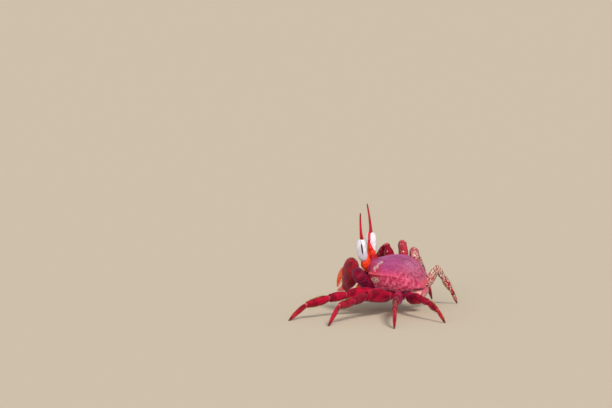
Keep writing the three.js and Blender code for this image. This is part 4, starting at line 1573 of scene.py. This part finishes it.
def with_seams(seams, start, end, gap):
    """Stations along a plate with seams, and how much the plate draws in at each."""
    stations = {start: 1.0, end: 1.0}
    for seam in seams:
        stations.update({seam - gap: 1.0, seam: 0.9, seam + gap: 1.0})
    steps = sorted(stations)
    for a, b in zip(steps, steps[1:]):
        if b - a > gap * 1.5:
            stations[(a + b) / 2] = 1.02
    return sorted(stations.items())


rings = []
for y, size in with_seams(SEAMS, -12.4, 17.2, 0.42):
    wide = np.interp(y, [-12.4, -8.2, -6.4, 0, 8, 13.5, 17.2], [2.6, 4.6, 8.2, 9.3, 9.0, 7.6, 6.0]) * size
    levels = [-16.9, -18.2, -18.8, -18.9, -18.2, -17.2, -15.6]
    under = np.interp(y, [-12.4, -8, -6.4, 10, 14, 16, 17.2], levels)
    middle = on_body([[0, y, (under + BREAST_TOP) / 2]])[0]
    rings.append([middle, LEAN[:, 0], LEAN[:, 2], wide * MM, (BREAST_TOP - under) / 2 * size * MM])
rings = capped(rings, LEAN[:, 1], [(-0.7 * MM, 0.8)], [(0.6 * MM, 0.75)])
breast = loft("breast_plate", section(24, breast_section), rings)
y = in_body(places_of(breast))[:, 1]
seams = sum(np.exp(-((y - seam) ** 2) / 0.05) for seam in SEAMS)
note(breast, stud=0, dust=0, base=0, hollow=seams * 0.8)
finish_piece(breast, belly_shell, "belly", "sternum")

FLAP_LINE = [
    (0, 17.4, -12.4), (0, 18.1, -14.8), (0, 17.2, -17.1), (0, 14.6, -18.5),
    (0, 10, -19.1), (0, 3, -19.2), (0, -4.5, -19.1),
]
FLAP_SIZES = [
    (0, 5.9, 0.7), (0.2, 6.3, 0.8), (0.4, 5.8, 0.85), (0.6, 4.7, 0.85),
    (0.75, 3.7, 0.8), (0.88, 2.8, 0.75), (1, 1.5, 0.5),
]
FLAP_SEAMS = (0.14, 0.29, 0.43, 0.57, 0.71, 0.86)
stations, draw = np.array(with_seams(FLAP_SEAMS, 0.0, 1.0, 0.018)).T
flap_sizes = spread_of(stations, FLAP_SIZES) * draw[:, None]
flap_line = on_body(FLAP_LINE)
flap = tube("tail_flap_plate", ROUND, curve_through(flap_line, stations), flap_sizes, LEAN[:, 0])
ladder = curve_through(flap_line, np.linspace(0, 1, 201))
share = np.array([((ladder - place) ** 2).sum(1).argmin() / 200 for place in places_of(flap)])
seams = sum(np.exp(-(((share - seam) / 0.012) ** 2)) for seam in FLAP_SEAMS)
note(flap, stud=0, dust=0, base=1 - ease(share, 0.02, 0.3), hollow=seams)
finish_piece(flap, belly_shell, "belly", "tail_flap")
print("seams: breast", len(SEAMS), "tail", len(FLAP_SEAMS))

# %% [markdown]
# ## The mouth and the feelers
#
# Two flat doors close the mouth. Each has a long lower plate, a short upper plate and, at its inner top
# corner, a little three-jointed palp that brushes food. Above them, under the brow, stand two short feelers
# with ringed tips, and between those a still smaller pair lies folded.

# %% Mouth doors and feelers
DOOR_TOP, DOOR_BOTTOM = (3.65, -19.0, -8.6), (3.55, -13.9, -16.2)
DOOR_SHARES = [-0.06, -0.02, 0.04, 0.2, 0.36, 0.42, 0.45, 0.48, 0.55, 0.75, 0.92, 1.0, 1.05]
DOOR_SIZES = [
    (-0.06, 1.8, 0.5), (0, 3.0, 0.9), (0.2, 3.4, 1.3), (0.42, 3.35, 1.25),
    (0.45, 3.0, 0.8), (0.48, 3.35, 1.3), (0.8, 3.2, 1.25), (1.05, 2.0, 0.7),
]
PALP = [(1.5, -20.0, -8.2), (1.3, -20.9, -9.6), (1.5, -20.3, -11.6), (1.7, -19.0, -13.0)]
FEELER = [(2.6, -18.6, -4.7), (2.9, -20.0, -4.3), (3.5, -21.3, -4.2), (4.6, -22.6, -5.4)]
FOLDED = [(0.8, -18.6, -5.4), (1.1, -20.2, -5.0), (1.5, -20.4, -6.2), (1.2, -19.8, -7.0)]


def on_side(side, places):
    """Real places of level places that are given for the left side."""
    return on_body(np.array(places) * (side, 1, 1))


def stalklet(name, side, line, shares, radii):
    """A small round limb through a few places on one side."""
    return tube(name, ROUND, curve_through(on_side(side, line), shares), radii, LEAN[:, 0], 1)


for word, side in SIDES.items():
    top, bottom = on_side(side, [DOOR_TOP, DOOR_BOTTOM])
    line = [top + (bottom - top) * share for share in DOOR_SHARES]
    sizes = spread_of(DOOR_SHARES, DOOR_SIZES)
    door = tube(f"mouth_door_{word}_plate", section(16, blade), line, sizes, LEAN[:, 0])
    wrinkled(door, top, bottom, (1.6, 1.6, 2.4), 0.2)
    shares = np.linspace(0, 1, 16)
    knots = 0.62 - 0.14 * np.cos(shares * 6 * math.pi) - 0.18 * shares
    join(door, stalklet("palp", side, PALP, shares, knots))
    studded(door, 0.7 * MM, 0.14 * MM, 61)
    x, _, z = in_body(places_of(door)).T
    groove = np.exp(-((np.abs(x) - 2.3) ** 2) / 0.03)
    note(door, hollow=groove * 0.7, base=ease(z, -11.5, -8.5) * 0.7, dust=0)
    finish_piece(door, belly_shell, "belly", f"mouth_door_{word}")

    shares = np.linspace(0, 1, 30)
    radii = np.interp(shares, [0, 0.3, 0.34, 0.5, 0.54, 0.62, 1], [0.85, 0.8, 0.62, 0.62, 0.5, 0.4, 0.24])
    radii = radii * (1 + 0.09 * np.cos(np.arange(30) * math.pi) * (shares > 0.55))
    feeler = stalklet(f"feeler_{word}_rings", side, FEELER, shares, radii)
    shares = np.linspace(0, 1, 14)
    small = np.interp(shares, [0, 0.4, 0.5, 1], [0.6, 0.55, 0.4, 0.25])
    join(feeler, stalklet("folded", side, FOLDED, shares, small))
    note(feeler, stud=0, hollow=0, dust=0, base=0)
    finish_piece(feeler, limb_shell, "limb", f"feeler_{word}")

# %% [markdown]
# ## Bristles
#
# A live ghost crab carries short golden bristles: rows along the shins and feet, a fringe round the mouth
# doors, and a thick tuft between the second and third legs, where it drinks from wet sand. A bristle is a
# thin cone of three sides, and thousands of them are copied into one mesh for each leg. Each gets a small
# patch in a map named OFBake at the place of its root, laid out as the limb unrolled: round it one way and
# along it the other. Close neighbours share a patch, and so a colour.

# %% One bristle, and rows of them
BRISTLE = template(bpy.ops.mesh.primitive_cone_add, vertices=3, radius1=1, radius2=0, depth=1)
BRISTLE[0][:, 2] += 0.5
HALF_PATCH = 0.0015
bristle_finish = Finish("bristle", Roughness=0.45, Specular_IOR_Level=0.4)
tint = bristle_finish.mottle(2.0, 2.0)
bristle_finish.feed("Base Color", bristle_finish.mixed(tint.between(0.3, 0.7), "8a4a1c", "d9a860"))


def bristle_row(node, start, end, angle, count, span, length, slope, seed, depth, spread):
    """Roots, directions, lengths and map places of bristles in a band along a segment."""
    random = np.random.default_rng(seed)
    way, across, up = directions(start, end)
    stations = np.linspace(*span, 12)
    rings = cuts(node, start, (way, across, up), np.linalg.norm(end - start) * stations, 1, 1)
    shares = np.sort(random.uniform(*span, count))
    angles = np.radians(angle + random.normal(0, spread, count))
    aside, above = np.cos(angles), np.sin(angles)
    centre = np.stack([np.interp(shares, stations, [r[0][k] for r in rings]) for k in range(3)], axis=1)
    wide, high = (np.interp(shares, stations, [r[k] for r in rings]) for k in (3, 4))
    root = centre + (across * (wide * aside)[:, None] + up * (high * above)[:, None]) * depth
    out = across * aside[:, None] + up * above[:, None]
    lean = out + way * slope + random.normal(0, 0.16, (count, 3))
    lengths = length * random.uniform(0.6, 1.15, count) * MM
    return root, lean, lengths, np.stack([angles / (2 * math.pi) % 1, shares], axis=1)


def bristle_piece(name, rows, thick=0.036):
    """One mesh of all the rows, whose map gives each row's limb a square of its own."""
    root, lean, lengths, patch = (np.concatenate(part) for part in zip(*rows))
    piece = copies(name, BRISTLE, root, lean, thick * MM, lengths)
    squares = math.ceil(math.sqrt(len(rows)))
    number = np.repeat(np.arange(len(rows)), [len(row[0]) for row in rows])
    corner = np.stack([number % squares, number // squares], axis=1)
    centre = (corner + 0.05 + patch * 0.9) / squares
    offset = BRISTLE[0][:, :2] * (1 - BRISTLE[0][:, 2:]) * HALF_PATCH
    places = (centre[:, None] + offset[None]).reshape(-1, 2)
    index = np.empty(len(piece.data.loops), int)
    piece.data.loops.foreach_get("vertex_index", index)
    chart = piece.data.uv_layers.new(name="OFBake")
    chart.data.foreach_set("uv", places[index].ravel())
    finish_piece(piece, bristle_finish, "fingertip")
    return len(root)

# %% [markdown]
# Blender's own hair isn't solid, and would have to be turned into a mesh before it could be kept. Cones can
# be placed exactly: along the upper and lower edges of a shin, all round a foot, and under the blade.

# %% Bristles of the legs
BRISTLE_ANGLES = {
    "propodus": (74, 106, 254, 286),
    "dactylus": (22, 67, 112, 158, 202, 248, 292, 338),
    "merus": (236, 304),
}
total = 0
for word in SIDES:
    for number in HIP_PLACE:
        root, socket, knee, ankle, heel, tip = leg_joints(word, number)
        seed = 100 + int(number) * 2 + (word == "left")
        # part, its ends, (bristles, span, length, slope), shift of the seed, (depth, spread in degrees)
        bands = (
            ("propodus", ankle, heel, (225 if number in "12" else 150, (0.16, 0.94), 1.3, 1.5), 0, (0.97, 7.0)),
            ("dactylus", heel, tip, (70, (0.08, 0.8), 0.8, 2.2), 7, (0.88, 2.0)),
            ("merus", socket, knee, (120, (0.1, 0.92), 0.9, 1.2), 3, (0.97, 7.0)),
        )
        rows = [
            bristle_row(f"leg_{word}_{number}_{part}", *ends, angle, *band, seed + 20 * k + shift, *fit)
            for part, *ends, band, shift, fit in bands
            for k, angle in enumerate(BRISTLE_ANGLES[part])
        ]
        total += bristle_piece(f"leg_{word}_{number}_bristles", rows)
print("bristles on the legs:", total)

# %% [markdown]
# The fringes follow the long edges of the mouth doors, and the tuft is a loose bunch that hangs between two
# legs. Neither lies on a leg, so their roots and directions are drawn here, and the same function copies
# the cones.

# %% Bristles of the mouth and of the drinking tuft
TUFT = 260
aside, rearward, upward = LEAN.T
for word, side in SIDES.items():
    random = np.random.default_rng(170 + side)
    top, bottom = on_side(side, [DOOR_TOP, DOOR_BOTTOM])
    rows = []
    for edge, count in ((-2.7, 110), (2.7, 90)):
        share = random.uniform(0.02, 0.98, count)[:, None]
        root = top + (bottom - top) * share + aside * edge * MM * (1 - 0.12 * share) - rearward * 0.6 * MM
        lean = -rearward * 0.8 + aside * edge * 0.22 - upward * 0.35 + random.normal(0, 0.2, (count, 3))
        patch = np.concatenate([share * 0 + (edge > 0) * 0.5, share], axis=1)
        rows.append((root, lean, random.uniform(0.5, 1.1, count) * MM, patch))
    strewn = random.normal(0, 1, (TUFT, 3)) * (1.3, 0.5, 0.7)
    root = on_body(strewn + (side * 12.0, 2.3, -15.4))
    lean = aside * side * 0.8 - upward * 0.7 + random.normal(0, 0.25, (TUFT, 3))
    patch = np.clip(0.5 + strewn[:, :2] / (10, 4), 0, 1)
    rows.append((root, lean, random.uniform(1.0, 1.9, TUFT) * MM, patch))
    bristle_piece(f"body_bristles_{word}", rows)

# %% [markdown]
# ## The studio
#
# A plain pale floor, a broad soft sun from high on the crab's left, a weaker one that stands in for the
# light that pale ground throws back, and an even sky. A sun lights the far floor as it does the near, so the
# backdrop stays plain, and the levels are such that a colour shows about as it was written.

# %% Floor, lamps and sky
clean_start()
bpy.ops.mesh.primitive_circle_add(vertices=96, radius=14, fill_type="NGON")
floor = bpy.context.object
floor.name = "floor"
ground = Finish("ground", Roughness=0.9, Specular_IOR_Level=0.2, Base_Color="cdc0ab")
floor.data.materials.append(ground.material)
floor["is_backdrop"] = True


def soft_sun(name, direction, degrees, strength, tint):
    """A sun that seems some degrees wide, so its shadows have soft edges."""
    clean_start()
    way = Vector(direction).normalized()
    bpy.ops.object.light_add(type="SUN", location=Vector(BODY) + way)
    lamp = bpy.context.object
    lamp.name = name
    lamp.rotation_euler = way.to_track_quat("Z", "Y").to_euler()
    lamp.data.angle = math.radians(degrees)
    lamp.data.energy = strength
    lamp.data.color = tint


soft_sun("key_sun", (0.5, 0.55, 0.72), 18, 2.4, (1.0, 0.965, 0.92))
soft_sun("ground_glow", (0.95, 0.12, 0.16), 40, 1.9, (1.0, 0.97, 0.94))
world = bpy.data.worlds.new("sky")
bpy.context.scene.world = world
world.use_nodes = True
nodes, links = world.node_tree.nodes, world.node_tree.links
sky, backdrop = nodes["Background"], nodes.new("ShaderNodeBackground")
for light, shade, strength in ((sky, "e2e4e8", 0.48), (backdrop, "cdbfaa", 1.0)):
    light.inputs["Color"].default_value = colour(shade)
    light.inputs["Strength"].default_value = strength
ray, seen, either = (nodes.new("ShaderNode" + kind) for kind in ("LightPath", "Math", "Math"))
seen.operation = either.operation = "MAXIMUM"
chosen = nodes.new("ShaderNodeMixShader")
for wire in (
    (ray.outputs["Is Camera Ray"], seen.inputs[0]),
    (ray.outputs["Is Glossy Ray"], seen.inputs[1]),
    (seen.outputs[0], either.inputs[0]),
    (ray.outputs["Is Transmission Ray"], either.inputs[1]),
    (either.outputs[0], chosen.inputs[0]),
    (sky.outputs[0], chosen.inputs[1]),
    (backdrop.outputs[0], chosen.inputs[2]),
    (chosen.outputs[0], nodes["World Output"].inputs["Surface"]),
):
    links.new(*wire)
bpy.context.scene.view_settings.view_transform = "Standard"

# %% [markdown]
# ## Closing the work
#
# The box of the finished crab is printed beside the box of its solids.

# %% The closing lines
made_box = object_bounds()
boxes = [[list(corner) for corner in box] for box in (solid_box, made_box)]
print("solids, mm:", [[round(x / MM, 1) for x in corner] for corner in boxes[0]])
print("crab, mm:  ", [[round(x / MM, 1) for x in corner] for corner in boxes[1]])
